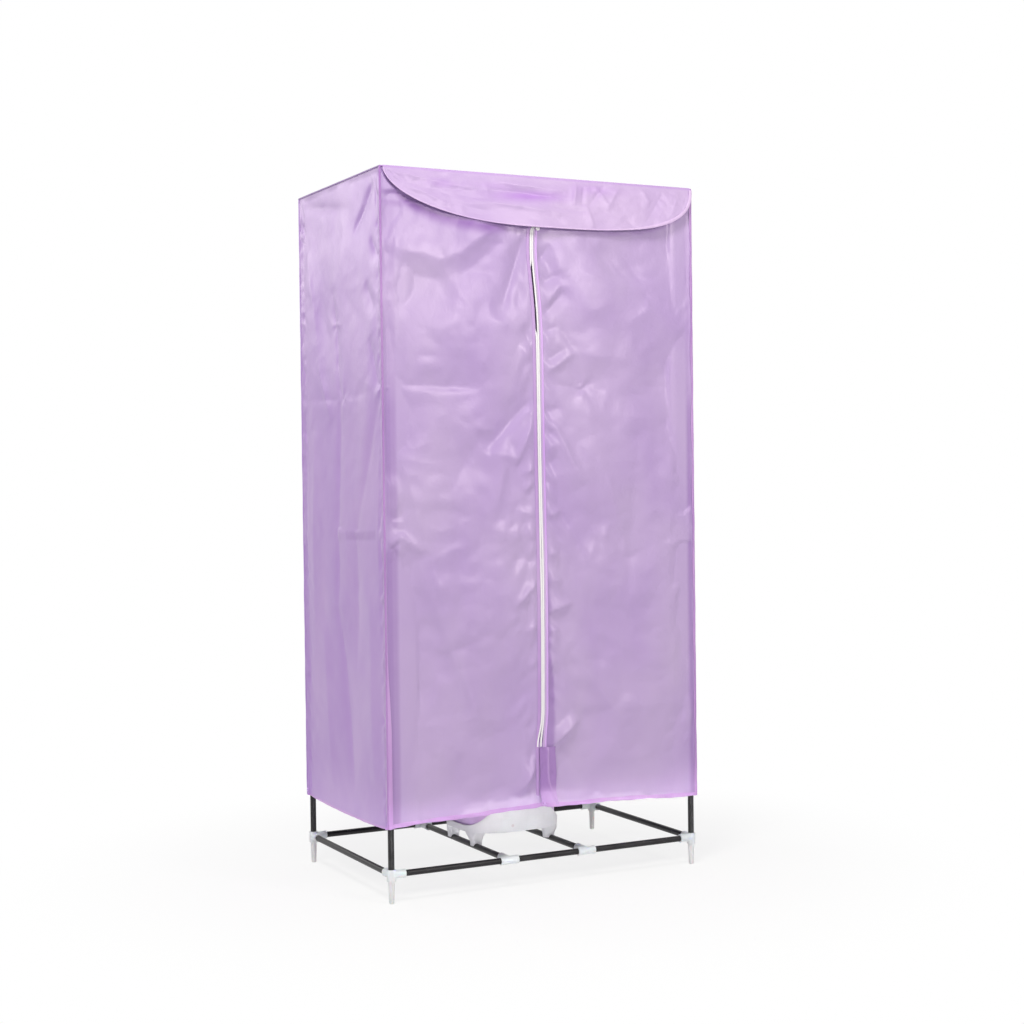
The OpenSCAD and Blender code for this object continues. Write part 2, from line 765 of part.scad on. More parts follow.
module outlet_grille() {
  flange = 4;
  rings = [14, 26, 38, 50];
  bar = 2;
  depth = 3;
  color(WHITE)
    translate([0, 0, housing_top]) {
      difference() {
        union() {
          cylinder(r = outlet_r + flange, h = 1.5);
          translate([0, 0, -shell]) cylinder(r = outlet_r - 0.2, h = shell);
        }
        translate([0, 0, -shell - 1]) cylinder(r = outlet_r - 3, h = shell + 4);
      }
      for (r = rings)
        translate([0, 0, -1.5])
          difference() {
            cylinder(r = r, h = depth);
            translate([0, 0, -1]) cylinder(r = r - bar, h = depth + 2);
          }
      difference() {
        for (a = [0 : 30 : 150])
          rotate(a) translate([-outlet_r + 2, -bar / 2, -1]) cube([2 * outlet_r - 4, bar, 2]);
        translate([0, 0, -2]) cylinder(r = rings[0] - bar - small, h = 4);
      }
      translate([0, 0, -1.5]) cylinder(r = rings[0] - bar / 2, h = depth);
    }
}

module intake_grille() {
  flange = 4;
  bar = 2;
  pitch = 12;
  slats = floor(intake_r / pitch);
  color(WHITE)
    translate([0, 0, floor_low]) {
      difference() {
        union() {
          translate([0, 0, -1.5]) cylinder(r = intake_r + flange, h = 1.5);
          cylinder(r = intake_r - 0.2, h = floor_t);
        }
        translate([0, 0, -3]) cylinder(r = intake_r - 3, h = floor_t + 6);
      }
      for (k = [-slats : slats])
        let (half = sqrt(pow(intake_r - 2, 2) - pow(k * pitch, 2)))
          translate([k * pitch - bar / 2, -half, 0]) cube([bar, 2 * half, 2]);
      translate([-intake_r + 2, -bar / 2, 0]) cube([2 * intake_r - 4, bar, 2]);
    }
}

/* ---- heater: what is inside ---- */
bracket_t = 2.5;
bracket_w = 18;
bracket_l = 2 * (intake_r + 14);
motor_low = floor_high + bracket_t;
fan_low = motor_low + motor_h + 5;
shaft_high = fan_low + fan_h + 3;

module motor_bracket() {
  color(METAL)
    translate([0, 0, floor_high])
      for (a = [0, 90])
        rotate(a) translate([-bracket_l / 2, -bracket_w / 2, 0]) cube([bracket_l, bracket_w, bracket_t]);
}

module fan_motor() {
  color(METAL) {
    translate([0, 0, motor_low]) cylinder(r = motor_r, h = motor_h);
    translate([0, 0, motor_low + motor_h - small]) cylinder(r = shaft_r + 3, h = 3);
    translate([0, 0, motor_low + motor_h]) cylinder(r = shaft_r, h = shaft_high - motor_low - motor_h);
  }
}

module fan_impeller() {
  hub_r = 14;
  color(DARK)
    translate([0, 0, fan_low])
      difference() {
        union() {
          cylinder(r = hub_r, h = fan_h);
          for (k = [0 : blades - 1])
            rotate(360 * k / blades)
              translate([hub_r - 2, 0, fan_h / 2])
                rotate([35, 0, 0])
                  translate([0, -9, -0.8]) cube([fan_r - hub_r + 1, 18, 1.6]);
        }
        translate([0, 0, -1]) cylinder(r = shaft_r + shaft_fit, h = fan_h + 2);
        translate([0, 0, -fan_h]) difference() {
          cylinder(r = 2 * fan_r, h = 3 * fan_h);
          translate([0, 0, -1]) cylinder(r = fan_r, h = 3 * fan_h + 2);
        }
      }
}

element_low = shaft_high + 4;
leg_w = 6;

// A finned block over the fan, on four legs that stand on the base's floor
module heating_element() {
  rail = 4;
  color(METAL) {
    for (sy = [-1, 1])
      translate([-element_l / 2, sy * (element_w - rail) / 2 - rail / 2, element_low])
        cube([element_l, rail, element_h]);
    for (k = [0 : fins - 1])
      translate([-element_l / 2 + k * (element_l - 1.5) / (fins - 1), -element_w / 2 + rail - small, element_low + 1])
        cube([1.5, element_w - 2 * rail + 2 * small, element_h - 2]);
    for (sx = [-1, 1])
      for (sy = [-1, 1])
        translate([sx * (element_l / 2 - leg_w / 2) - leg_w / 2, sy * (element_w / 2 + 1) - leg_w / 2, floor_high])
          cube([leg_w, leg_w, element_low + element_h - floor_high]);
  }
}

/* ---- controls ---- */
timer_half = 16;
pad_half = timer_half + 2;
pad_t = 12;
pad_y = -(housing_r(270, part_way(knob_h + pad_half), shell) - pad_t);
timer_d = 20;
knob_gap = 1;
knob_back = fascia_y - knob_gap;

module timer_unit() {
  color(DARK)
    translate([knob_x, pad_y, knob_h]) {
      translate([-timer_half, 0, -timer_half]) cube([2 * timer_half, timer_d, 2 * timer_half]);
      rotate([90, 0, 0]) cylinder(r = timer_shaft_r, h = pad_y - knob_back + knob_t - 4);
    }
}

module timer_knob() {
  color(WHITE)
    translate([knob_x, knob_back, knob_h])
      rotate([90, 0, 0])
        difference() {
          union() {
            cylinder(r = knob_r, h = 3);
            cylinder(r = knob_r - 3, h = knob_t - 1);
            translate([0, 0, knob_t - 1 - small]) cylinder(r = knob_r - 4, h = 1);
            translate([-2, 0, 0]) cube([4, knob_r - 4, knob_t + 1]);
          }
          translate([0, 0, -1]) cylinder(r = timer_shaft_r + timer_fit, h = knob_t - 2);
        }
}

module indicator_lens() {
  color([0.95, 0.6, 0.45])
    translate([lamp_x, lamp_y + shell + 0.5, lamp_h])
      rotate([90, 0, 0]) {
        cylinder(r = lamp_r, h = shell + 1.1);
        translate([0, 0, -0.8]) cylinder(r = lamp_r + 1.5, h = 0.8);
      }
}

gland_y = housing_r(90, part_way(gland_h), 0);
gland_l = 20;
gland_in = 7;

// The mains cord's gland in the back of the housing
module cord_gland() {
  color(DARK)
    translate([0, gland_y - gland_in, gland_h]) toward_y()
      difference() {
        union() {
          cylinder(r = gland_r - 0.1, h = gland_l);
          translate([0, 0, gland_in + 0.2]) cylinder(r = gland_r + 2, h = 3);
        }
        translate([0, 0, -1]) cylinder(r = cord_hole_r, h = gland_l + 2);
      }
}

screw_bite = 12;
module housing_screws() {
  color(METAL)
    at_screws(floor_low) {
      translate([0, 0, -1.6]) cylinder(r = 2 * screw_r, h = 1.6);
      translate([0, 0, -small]) cylinder(r = screw_r - 0.05, h = floor_t + screw_bite);
    }
}

/* ---- nodes ---- */
corner_foot(-1, -1);  // corner_foot_front_left
corner_foot(1, -1);  // corner_foot_front_right
corner_foot(-1, 1);  // corner_foot_back_left
corner_foot(1, 1);  // corner_foot_back_right
tube_x(2 * (post_x - socket_floor), -post_y, ring_h);  // bottom_rail_front
tube_x(2 * (post_x - socket_floor), post_y, ring_h);  // bottom_rail_back
tube_y(2 * (post_y - socket_floor), -post_x, ring_h);  // bottom_rail_left
tube_y(2 * (post_y - socket_floor), post_x, ring_h);  // bottom_rail_right
tube_y(2 * (post_y - socket_floor), -bar_x, ring_h);  // heater_bar_left
tube_y(2 * (post_y - socket_floor), bar_x, ring_h);  // heater_bar_right
rail_tees();
post(-1, -1, ring_h - socket_floor, mid_h - post_stop / 2);  // lower_post_front_left
post(1, -1, ring_h - socket_floor, mid_h - post_stop / 2);  // lower_post_front_right
post(-1, 1, ring_h - socket_floor, mid_h - post_stop / 2);  // lower_post_back_left
post(1, 1, ring_h - socket_floor, mid_h - post_stop / 2);  // lower_post_back_right
mid_joint(-1, -1);  // mid_joint_front_left
mid_joint(1, -1);  // mid_joint_front_right
mid_joint(-1, 1);  // mid_joint_back_left
mid_joint(1, 1);  // mid_joint_back_right
post(-1, -1, mid_h + post_stop / 2, top_h - socket_floor);  // upper_post_front_left
post(1, -1, mid_h + post_stop / 2, top_h - socket_floor);  // upper_post_front_right
post(-1, 1, mid_h + post_stop / 2, top_h - socket_floor);  // upper_post_back_left
post(1, 1, mid_h + post_stop / 2, top_h - socket_floor);  // upper_post_back_right
tube_y(2 * (post_y - socket_floor), -post_x, mid_h);  // mid_rail_left
tube_y(2 * (post_y - socket_floor), post_x, mid_h);  // mid_rail_right
tube_x(2 * (post_x - socket_floor), 0, mid_h);  // mid_hanging_rod
top_corner(-1, -1);  // top_corner_front_left
top_corner(1, -1);  // top_corner_front_right
top_corner(-1, 1);  // top_corner_back_left
top_corner(1, 1);  // top_corner_back_right
tube_x(2 * (post_x - socket_floor), -post_y, top_h);  // top_rail_front
tube_x(2 * (post_x - socket_floor), post_y, top_h);  // top_rail_back
tube_y(2 * (post_y - socket_floor), -post_x, top_h);  // top_rail_left
tube_y(2 * (post_y - socket_floor), post_x, top_h);  // top_rail_right
tube_x(2 * (post_x - socket_floor), 0, top_h);  // top_hanging_rod
cover_roof();
cover_left_panel();
cover_right_panel();
cover_back_panel();
cover_front_left_panel();
cover_front_right_panel();
edge_piping();
front_flap();
zip_left();
zip_right();
zip_slider();
zip_pull();
heater_base();
heater_housing();
outlet_grille();
intake_grille();
housing_screws();
fan_motor();
motor_bracket();
fan_impeller();
heating_element();
timer_unit();
timer_knob();
indicator_lens();
cord_gland();
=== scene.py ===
"""Looks of the drying cabinet: its cloth cover, zip, piping and heater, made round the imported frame.

Lengths are metres in the frame's own axes: +X to the right, -Y to the front, +Z up.
Upright cloth is worked out in panel coordinates (across, out, up) and then stood on its side.
"""

import json
import math

import bpy
import numpy as np
from mathutils import Matrix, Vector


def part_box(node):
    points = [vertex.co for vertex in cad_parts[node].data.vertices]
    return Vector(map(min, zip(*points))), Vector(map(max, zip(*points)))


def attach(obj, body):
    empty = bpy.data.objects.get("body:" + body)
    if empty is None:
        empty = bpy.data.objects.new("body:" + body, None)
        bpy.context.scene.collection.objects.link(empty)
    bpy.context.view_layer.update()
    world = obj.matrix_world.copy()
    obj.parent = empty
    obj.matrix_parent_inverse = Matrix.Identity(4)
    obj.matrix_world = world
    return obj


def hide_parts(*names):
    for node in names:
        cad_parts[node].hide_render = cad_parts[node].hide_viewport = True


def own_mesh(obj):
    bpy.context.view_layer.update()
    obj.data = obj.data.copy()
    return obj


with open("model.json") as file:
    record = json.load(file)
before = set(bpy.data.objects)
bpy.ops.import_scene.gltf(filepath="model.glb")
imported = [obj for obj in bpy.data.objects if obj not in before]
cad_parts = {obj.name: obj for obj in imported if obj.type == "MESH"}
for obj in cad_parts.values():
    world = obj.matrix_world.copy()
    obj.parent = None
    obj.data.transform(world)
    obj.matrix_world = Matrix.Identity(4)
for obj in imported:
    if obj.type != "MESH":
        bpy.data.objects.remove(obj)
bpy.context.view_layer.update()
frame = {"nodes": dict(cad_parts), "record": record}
nodes = frame["nodes"]

MM = 0.001


def middle(node):
    """Centre of a node's box."""
    low, high = np.array(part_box(node))
    return (low + high) / 2


# ---- sizes of the cabinet, from the frame's own boxes ----
PIPING_R = 2 * MM
SEAM_GAP = 0.05 * MM
DRAWN_IN, RAISED = 1.9 * MM, 4 * MM
SEAM_X, SEAM_Y, SEAM_Z = np.array(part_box("edge_piping"))[1] - PIPING_R - (DRAWN_IN, DRAWN_IN, -RAISED)
ZIP_Y = SEAM_Y + DRAWN_IN
HEM_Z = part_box("cover_left_panel")[0][2]
POST_X, POST_Y = middle("lower_post_back_right")[:2]
MID_Z, TOP_Z, RING_Z = (middle(node)[2] for node in ("mid_rail_left", "top_rail_left", "bottom_rail_left"))
TUBE_R = (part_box("mid_rail_left")[1][2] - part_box("mid_rail_left")[0][2]) / 2
COLLAR_R = 9.1 * MM
SOCKET_REACH = 30 * MM
TEE_HALF = 20.5 * MM
TUBE_INSET = SEAM_X - POST_X
PANEL_HALF_X = SEAM_X - PIPING_R - SEAM_GAP
PANEL_HALF_Y = SEAM_Y - PIPING_R - SEAM_GAP
PANEL_TOP = SEAM_Z - PIPING_R - SEAM_GAP
POSTS = {PANEL_HALF_X: POST_X, PANEL_HALF_Y: POST_Y}

# ---- sizes of the zip ----
ZIP_X = -15 * MM
ZIP_LOW = 296 * MM
ZIP_HIGH = 1489 * MM
BAND_NEAR, BAND_FAR = 0.2 * MM, 4.1 * MM
TEETH_FAR, TEETH_BACK, TEETH_PITCH = 3.2 * MM, -0.5 * MM, 1.6 * MM
CLOTH_EDGE = 5 * MM
SEWN_FLAT = 13 * MM
DOOR_TRAVEL = 270 * MM

# ---- sizes of the cloth ----
CLOTH_T = 0.5 * MM
FORWARD = (0, -1.0, 0)
CELL = 6.2 * MM
FOLD_R = 1.2 * MM
ROUNDS = 420


# ==== arrays ====
def smooth(t):
    """Smooth step: 0 below 0, 1 above 1, level at both ends."""
    t = np.clip(t, 0, 1)
    return t * t * (3 - 2 * t)


def bell(x, at, width):
    """A bell curve: 1 at its middle, and 1 over e at a width from it."""
    return np.exp(-(((x - at) / width) ** 2))


def length(v):
    """Lengths of an array of vectors."""
    return np.sqrt((v * v).sum(-1, keepdims=True))


def unit(v):
    """The same vectors with a length of 1."""
    return v / np.maximum(length(v), 1e-12)


def grid_normals(p):
    """Unit normals of a grid of points: the way along the columns crossed with the way up the rows."""
    return unit(np.cross(np.gradient(p, axis=1), np.gradient(p, axis=0)))


def finer(p, times):
    """A grid of points with times as many cells each way, on Catmull-Rom curves through the old ones."""

    def along_rows(q):
        n = len(q)
        at = np.linspace(0, n - 1, (n - 1) * times + 1)
        i = np.minimum(at.astype(int), n - 2)
        t = (at - i).reshape(-1, *[1] * (q.ndim - 1))
        before, after = 2 * q[0] - q[1], 2 * q[-1] - q[-2]
        q = np.concatenate([before[None], q, after[None]])
        a, b, c, d = q[i], q[i + 1], q[i + 2], q[i + 3]
        return b + 0.5 * t * (c - a + t * (2 * a - 5 * b + 4 * c - d + t * (3 * (b - c) + d - a)))

    return along_rows(along_rows(p).swapaxes(0, 1)).swapaxes(0, 1)


def soft_noise(shape, cells, seed):
    """Smooth noise from about -1 to 1: a coarse grid of seeded values on Catmull-Rom curves."""
    rows, cols = shape
    coarse = np.random.default_rng(seed).normal(0, 0.5, (cells[0] + 3, cells[1] + 3))
    dense = finer(coarse, 8)
    r = np.linspace(8, 8 * (cells[0] + 1), rows)
    c = np.linspace(8, 8 * (cells[1] + 1), cols)
    r0, c0 = r.astype(int), c.astype(int)
    tr, tc = (r - r0)[:, None], (c - c0)[None]
    top = dense[np.ix_(r0, c0)] * (1 - tc) + dense[np.ix_(r0, c0 + 1)] * tc
    low = dense[np.ix_(r0 + 1, c0)] * (1 - tc) + dense[np.ix_(r0 + 1, c0 + 1)] * tc
    return top * (1 - tr) + low * tr


# ==== meshes ====
def make_mesh(name, points, faces, uv=None, sharp=50):
    """A mesh object from arrays of points and quads or triangles; uv gives one place a point, in metres."""
    mesh = bpy.data.meshes.new(name)
    mesh.from_pydata(np.asarray(points, float).reshape(-1, 3), [], faces)
    if uv is not None:
        layer = mesh.uv_layers.new(name="cloth")
        at = np.zeros(len(mesh.loops), np.int32)
        mesh.loops.foreach_get("vertex_index", at)
        layer.data.foreach_set("uv", np.asarray(uv, np.float32).reshape(-1, 2)[at].ravel())
    mesh.shade_smooth()
    mesh.set_sharp_from_angle(angle=math.radians(sharp))
    piece = bpy.data.objects.new(name, mesh)
    bpy.context.scene.collection.objects.link(piece)
    return piece


def grid_faces(rows, cols, wrap_cols=False, wrap_rows=False):
    """Quads of a grid of points, row by row; a wrapped grid closes on itself."""
    at = np.arange(rows * cols).reshape(rows, cols)
    if wrap_cols:
        at = np.concatenate([at, at[:, :1]], 1)
    if wrap_rows:
        at = np.concatenate([at, at[:1]], 0)
    return np.stack([at[:-1, :-1], at[:-1, 1:], at[1:, 1:], at[1:, :-1]], -1).reshape(-1, 4)


def closed_sheet(name, middle, thick, behind=None):
    """Cloth as a closed shell: the middle grid moved out and in along its normals, joined round its rim.

    behind, a value a point, is the cloth's painted shade; below 0 it is a painted highlight.
    """
    rows, cols = middle.shape[:2]
    n = grid_normals(middle)
    loop = np.concatenate([middle + n * thick / 2, (middle - n * thick / 2)[:, ::-1]], 1)
    across = np.concatenate([np.zeros((rows, 1)), length(np.diff(middle, axis=1))[..., 0].cumsum(1)], 1)
    up = np.concatenate([np.zeros((1, cols)), length(np.diff(middle, axis=0))[..., 0].cumsum(0)], 0)
    uv = np.stack([across, up], -1)
    uv = np.concatenate([uv, uv[:, ::-1]], 1)
    c = np.arange(cols - 1)
    last = (rows - 1) * 2 * cols
    low = np.stack([c + 1, c, 2 * cols - 1 - c, 2 * cols - 2 - c], -1)
    high = np.stack([last + c, last + c + 1, last + 2 * cols - 2 - c, last + 2 * cols - 1 - c], -1)
    faces = np.concatenate([grid_faces(rows, 2 * cols, wrap_cols=True), low, high])
    piece = make_mesh(name, loop, faces, uv)
    behind = np.zeros((rows, cols)) if behind is None else behind
    shade = piece.data.attributes.new("behind", "FLOAT", "POINT")
    shade.data.foreach_set("value", np.concatenate([behind, behind[:, ::-1]], 1).ravel().astype(np.float32))
    return piece


def round_bar(name, rings, uv=None, sharp=50):
    """Rings of points joined one to the next, with a fan of triangles over the first and the last."""
    n, m = rings.shape[:2]
    points = np.concatenate([rings.reshape(-1, 3), rings[:1].mean(1), rings[-1:].mean(1)])
    k = np.arange(m)
    after, last = (k + 1) % m, (n - 1) * m
    faces = grid_faces(n, m, wrap_cols=True).tolist()
    faces += np.stack([after, k, np.full(m, n * m)], -1).tolist()
    faces += np.stack([last + k, last + after, np.full(m, n * m + 1)], -1).tolist()
    return make_mesh(name, points, faces, uv, sharp)


def run_length(path):
    """Distance of each point of a path from its start."""
    return np.concatenate([[0], length(np.diff(path, axis=0))[:, 0].cumsum()])


def sweep(name, path, side, out, profile):
    """A profile carried along a path. side and out are the directions of its two coordinates."""
    side, out = (np.broadcast_to(way, (len(path), 3))[:, None] for way in (side, out))
    profile = np.broadcast_to(profile, (len(path), *profile.shape[-2:]))
    rings = path[:, None] + side * profile[..., :1] + out * profile[..., 1:]
    round_it = np.linspace(0, 1, rings.shape[1])[None] * 0.01
    uv = np.stack(np.broadcast_arrays(round_it, run_length(path)[:, None]), -1).reshape(-1, 2)
    return round_bar(name, rings, np.concatenate([uv, uv[:1], uv[-1:]]))


def around(count):
    """Angles of that many points round a full turn."""
    return np.arange(count) * 2 * math.pi / count


def circle(r, a, z):
    """Points at those angles, with a radius and a height for each or for all."""
    return np.stack([r * np.cos(a), r * np.sin(a), z + 0 * a + 0 * r], -1)


def loop_profile(half_w, half_t, power=2.6, sides=16):
    """A rounded flat profile, counter-clockwise: a superellipse of that half width and half thickness.

    Where half_w is an array, there is a profile for each of its values.
    """
    a = around(sides)
    c, s = np.cos(a), np.sin(a)
    one = np.stack([np.sign(c) * np.abs(c) ** (2 / power), np.sign(s) * np.abs(s) ** (2 / power)], -1)
    sizes = np.stack(np.broadcast_arrays(half_w, half_t), -1)
    return one * sizes[..., None, :]


def repeated(name, points, faces, places):
    """One small shape at many places."""
    copies = points[None] + places[:, None]
    shift = np.arange(len(places))[:, None, None] * len(points)
    return make_mesh(name, copies, (faces[None] + shift).reshape(-1, faces.shape[1]), None, 40)


def join(name, pieces):
    """Several meshes as one piece."""
    with bpy.context.temp_override(active_object=pieces[0], selected_editable_objects=pieces):
        bpy.ops.object.join()
    pieces[0].name = name
    return pieces[0]


# ==== finishes ====
def shader(name, colour, roughness, **values):
    """A Principled material; values are more of its sockets, with _ for the spaces in their names."""
    material = bpy.data.materials.new(name)
    material.use_nodes = True
    tree = material.node_tree
    bsdf = tree.nodes["Principled BSDF"]
    bsdf.inputs["Base Color"].default_value = (*colour, 1)
    bsdf.inputs["Roughness"].default_value = roughness
    for key, value in values.items():
        bsdf.inputs[key.replace("_", " ")].default_value = value
    return material, tree, bsdf


def add(tree, kind, **settings):
    """A node; settings whose name is a socket's set that socket, others the node's own property."""
    node = tree.nodes.new(kind)
    for key, value in settings.items():
        socket = key.replace("_", " ")
        if socket in node.inputs:
            node.inputs[socket].default_value = value
        else:
            setattr(node, key, value)
    return node


def noise(tree, coords, scale, detail=2, stretch=(1, 1, 1), distortion=0.0):
    """The value of a noise texture on those coordinates, stretched along each axis."""
    place = add(tree, "ShaderNodeMapping")
    place.inputs["Scale"].default_value = stretch
    tree.links.new(coords, place.inputs["Vector"])
    texture = add(tree, "ShaderNodeTexNoise", Scale=scale, Detail=detail, Distortion=distortion)
    tree.links.new(place.outputs["Vector"], texture.inputs["Vector"])
    return texture.outputs["Fac"]


def coordinates(tree, kind="Object"):
    """Places on the surface, in the piece's own metres or on the cloth's flat cut."""
    return add(tree, "ShaderNodeTexCoord").outputs[kind]


def ramp(tree, value, stops):
    """A colour ramp over a value; stops are pairs of a place and a colour."""
    node = add(tree, "ShaderNodeValToRGB")
    band = node.color_ramp.elements
    while len(band) < len(stops):
        band.new(0.5)
    for element, (place, colour) in zip(band, stops):
        element.position = place
        element.color = (*colour, 1)
    tree.links.new(value, node.inputs["Fac"])
    return node.outputs["Color"]


def vary(tree, value, low, high, socket):
    """Sets a socket from a value between 0 and 1, spread between low and high."""
    spread = add(tree, "ShaderNodeMapRange", To_Min=low, To_Max=high)
    tree.links.new(value, spread.inputs["Value"])
    tree.links.new(spread.outputs["Result"], socket)


def bump(tree, bsdf, height, strength, distance):
    """Adds a height to the bumps that the surface already has."""
    node = add(tree, "ShaderNodeBump", Strength=strength, Distance=distance)
    tree.links.new(height, node.inputs["Height"])
    old = bsdf.inputs["Normal"].links
    if old:
        tree.links.new(old[0].from_socket, node.inputs["Normal"])
    tree.links.new(node.outputs["Normal"], bsdf.inputs["Normal"])


def math_node(tree, operation, a, b):
    """One sum of two values, each a number or a socket."""
    node = add(tree, "ShaderNodeMath", operation=operation)
    for socket, value in zip(node.inputs, (a, b)):
        if isinstance(value, (int, float)):
            socket.default_value = value
        else:
            tree.links.new(value, socket)
    return node.outputs["Value"]


# the dark violet of the cloth's painted shade
PAINTED_SHADE_COLOUR = (0.27, 0.13, 0.42)


def cloth_finish(name, colour, light, dark, roughness=0.34, crinkle=0.5, gloss=0.5, shown=PAINTED_SHADE_COLOUR):
    """Coated taffeta: clouded lilac, a fine weave and a soft crinkle, with a satin gloss.

    shown is the colour of its painted shade, mixed in by the attribute behind; below 0 that mix makes it
    lighter, a painted highlight.
    """
    material, tree, bsdf = shader(name, colour, roughness, Sheen_Weight=0.15, Sheen_Roughness=0.4,
                                  Specular_IOR_Level=gloss, Specular_Tint=(0.95, 0.85, 1.0, 1))
    place = coordinates(tree)
    cloth = coordinates(tree, "UV")
    clouds = noise(tree, place, 5.5, 3, (1, 1, 0.55), 0.4)
    clouded = ramp(tree, clouds, [(0.25, dark), (0.5, colour), (0.75, light)])
    # painted shade of each point, or painted highlight where below 0, from the attribute behind
    seen = add(tree, "ShaderNodeAttribute", attribute_name="behind")
    mixed = add(tree, "ShaderNodeMix", data_type="RGBA", clamp_factor=False)
    tree.links.new(seen.outputs["Fac"], mixed.inputs[0])
    tree.links.new(clouded, mixed.inputs[6])
    mixed.inputs[7].default_value = (*shown, 1)
    tree.links.new(mixed.outputs[2], bsdf.inputs["Base Color"])
    vary(tree, noise(tree, place, 14, 2), roughness - 0.06, roughness + 0.08, bsdf.inputs["Roughness"])
    bump(tree, bsdf, noise(tree, place, 38, 3, (1, 1, 0.7), 0.6), 0.35 * crinkle, 1.6 * MM)
    for scale, size in ((26, 1.4 * MM), (58, 0.7 * MM)):
        off = math_node(tree, "SUBTRACT", noise(tree, place, scale, 1, (1, 1, 0.8), 0.8), 0.5)
        bump(tree, bsdf, math_node(tree, "ABSOLUTE", off, 0), 0.7 * crinkle, size)
    bump(tree, bsdf, noise(tree, place, 130, 2, (1, 1, 1), 0.3), 0.25 * crinkle, 0.4 * MM)
    waves = [add(tree, "ShaderNodeTexWave", Scale=1100, Distortion=0.6, bands_direction=way) for way in "XY"]
    for wave in waves:
        tree.links.new(cloth, wave.inputs["Vector"])
    weave = math_node(tree, "MAXIMUM", *[wave.outputs["Fac"] for wave in waves])
    bump(tree, bsdf, weave, 0.12, 0.05 * MM)
    return material


def plastic_finish(name, colour, roughness, grain=0.25, **values):
    """Moulded plastic: a faint mottle, uneven gloss and a fine moulded grain."""
    material, tree, bsdf = shader(name, colour, roughness, **values)
    place = coordinates(tree)
    shade = tuple(c * 0.93 for c in colour)
    clouds = noise(tree, place, 30, 3)
    tree.links.new(ramp(tree, clouds, [(0.35, shade), (0.65, colour)]), bsdf.inputs["Base Color"])
    gloss = noise(tree, place, 90, 2)
    vary(tree, gloss, roughness * 0.85, min(1, roughness * 1.25), bsdf.inputs["Roughness"])
    bump(tree, bsdf, noise(tree, place, 900, 2), grain, 0.08 * MM)
    bump(tree, bsdf, noise(tree, place, 60, 2), 0.15, 0.3 * MM)
    return material


def paint_finish():
    """Black powder paint on steel tube: satin, with a fine orange peel and rubbed, greyer patches."""
    material, tree, bsdf = shader("tube_paint", (0.014, 0.013, 0.015), 0.42, Specular_IOR_Level=0.3)
    place = coordinates(tree)
    rub = noise(tree, place, 22, 4, distortion=0.5)
    colours = [(0.35, (0.010, 0.009, 0.011)), (0.7, (0.026, 0.024, 0.027))]
    tree.links.new(ramp(tree, rub, colours), bsdf.inputs["Base Color"])
    vary(tree, rub, 0.3, 0.5, bsdf.inputs["Roughness"])
    bump(tree, bsdf, noise(tree, place, 500, 2), 0.2, 0.15 * MM)
    return material


def metal_finish():
    """Bare sheet metal, brushed along its length."""
    material, tree, bsdf = shader("bare_metal", (0.6, 0.61, 0.63), 0.35, Metallic=1.0)
    place = coordinates(tree)
    lines = noise(tree, place, 60, 3, (1, 12, 12))
    vary(tree, lines, 0.25, 0.5, bsdf.inputs["Roughness"])
    bump(tree, bsdf, lines, 0.2, 0.1 * MM)
    return material


# colour, light, dark, roughness, crinkle, gloss, shown: the colour of the painted shade
VIOLET, VIOLET_DARK = (0.560, 0.310, 0.700), (0.400, 0.190, 0.540)
CLOTHS = {
    "cover_cloth": ((0.503, 0.370, 0.638), (0.540, 0.415, 0.655), (0.460, 0.320, 0.615)),
    # the sides: a darker, more saturated copy of the cover cloth, painted shade
    "side_shaded_cloth": ((0.50, 0.32, 0.68), (0.54, 0.36, 0.70), (0.46, 0.28, 0.655), 0.38, 0.4, 0.35),
    # the flap: a lighter copy of the cover cloth, painted light, with a brighter violet for its painted shade
    "flap_lit_cloth": ((0.58, 0.43, 0.70), (0.63, 0.48, 0.73), (0.53, 0.38, 0.67), 0.36, 0.5, 0.5,
                   (0.46, 0.22, 0.68)),
    "binding_cloth": (VIOLET, (0.640, 0.400, 0.750), VIOLET_DARK, 0.40, 0.3),
    # the side roof seams: a darker copy of the piping cloth, painted shade
    "seam_shade_cloth": ((0.32, 0.19, 0.46), (0.37, 0.23, 0.52), (0.26, 0.15, 0.40), 0.45, 0.3),
    "piping_cloth": ((0.46, 0.26, 0.58), VIOLET, VIOLET_DARK, 0.42, 0.3),
    "flap_binding": ((0.70, 0.52, 0.80), (0.76, 0.60, 0.84), (0.62, 0.44, 0.75), 0.4, 0.3),
    "fly_cloth": ((0.52, 0.33, 0.66), (0.58, 0.40, 0.70), (0.46, 0.27, 0.62), 0.42, 0.3),
    "facing_cloth": ((0.58, 0.42, 0.70), (0.64, 0.48, 0.74), (0.5, 0.35, 0.64), 0.45, 0.3),
    # the ridge beside the zip: a lighter copy of the cloth, painted highlight
    "ridge_highlight_cloth": ((0.68, 0.42, 0.86), (0.76, 0.52, 0.90), (0.60, 0.34, 0.80), 0.38, 0.3),
    "hem_cloth": ((0.56, 0.33, 0.68), (0.66, 0.43, 0.76), (0.45, 0.25, 0.58), 0.38, 0.3),
    "zip_band": ((0.92, 0.91, 0.94), (0.95, 0.95, 0.96), (0.86, 0.84, 0.89), 0.5, 0.2),
}
finishes = {name: cloth_finish(name, *values) for name, values in CLOTHS.items()}
finishes["zip_coil_nylon"] = plastic_finish("zip_coil_nylon", (0.86, 0.84, 0.88), 0.35)

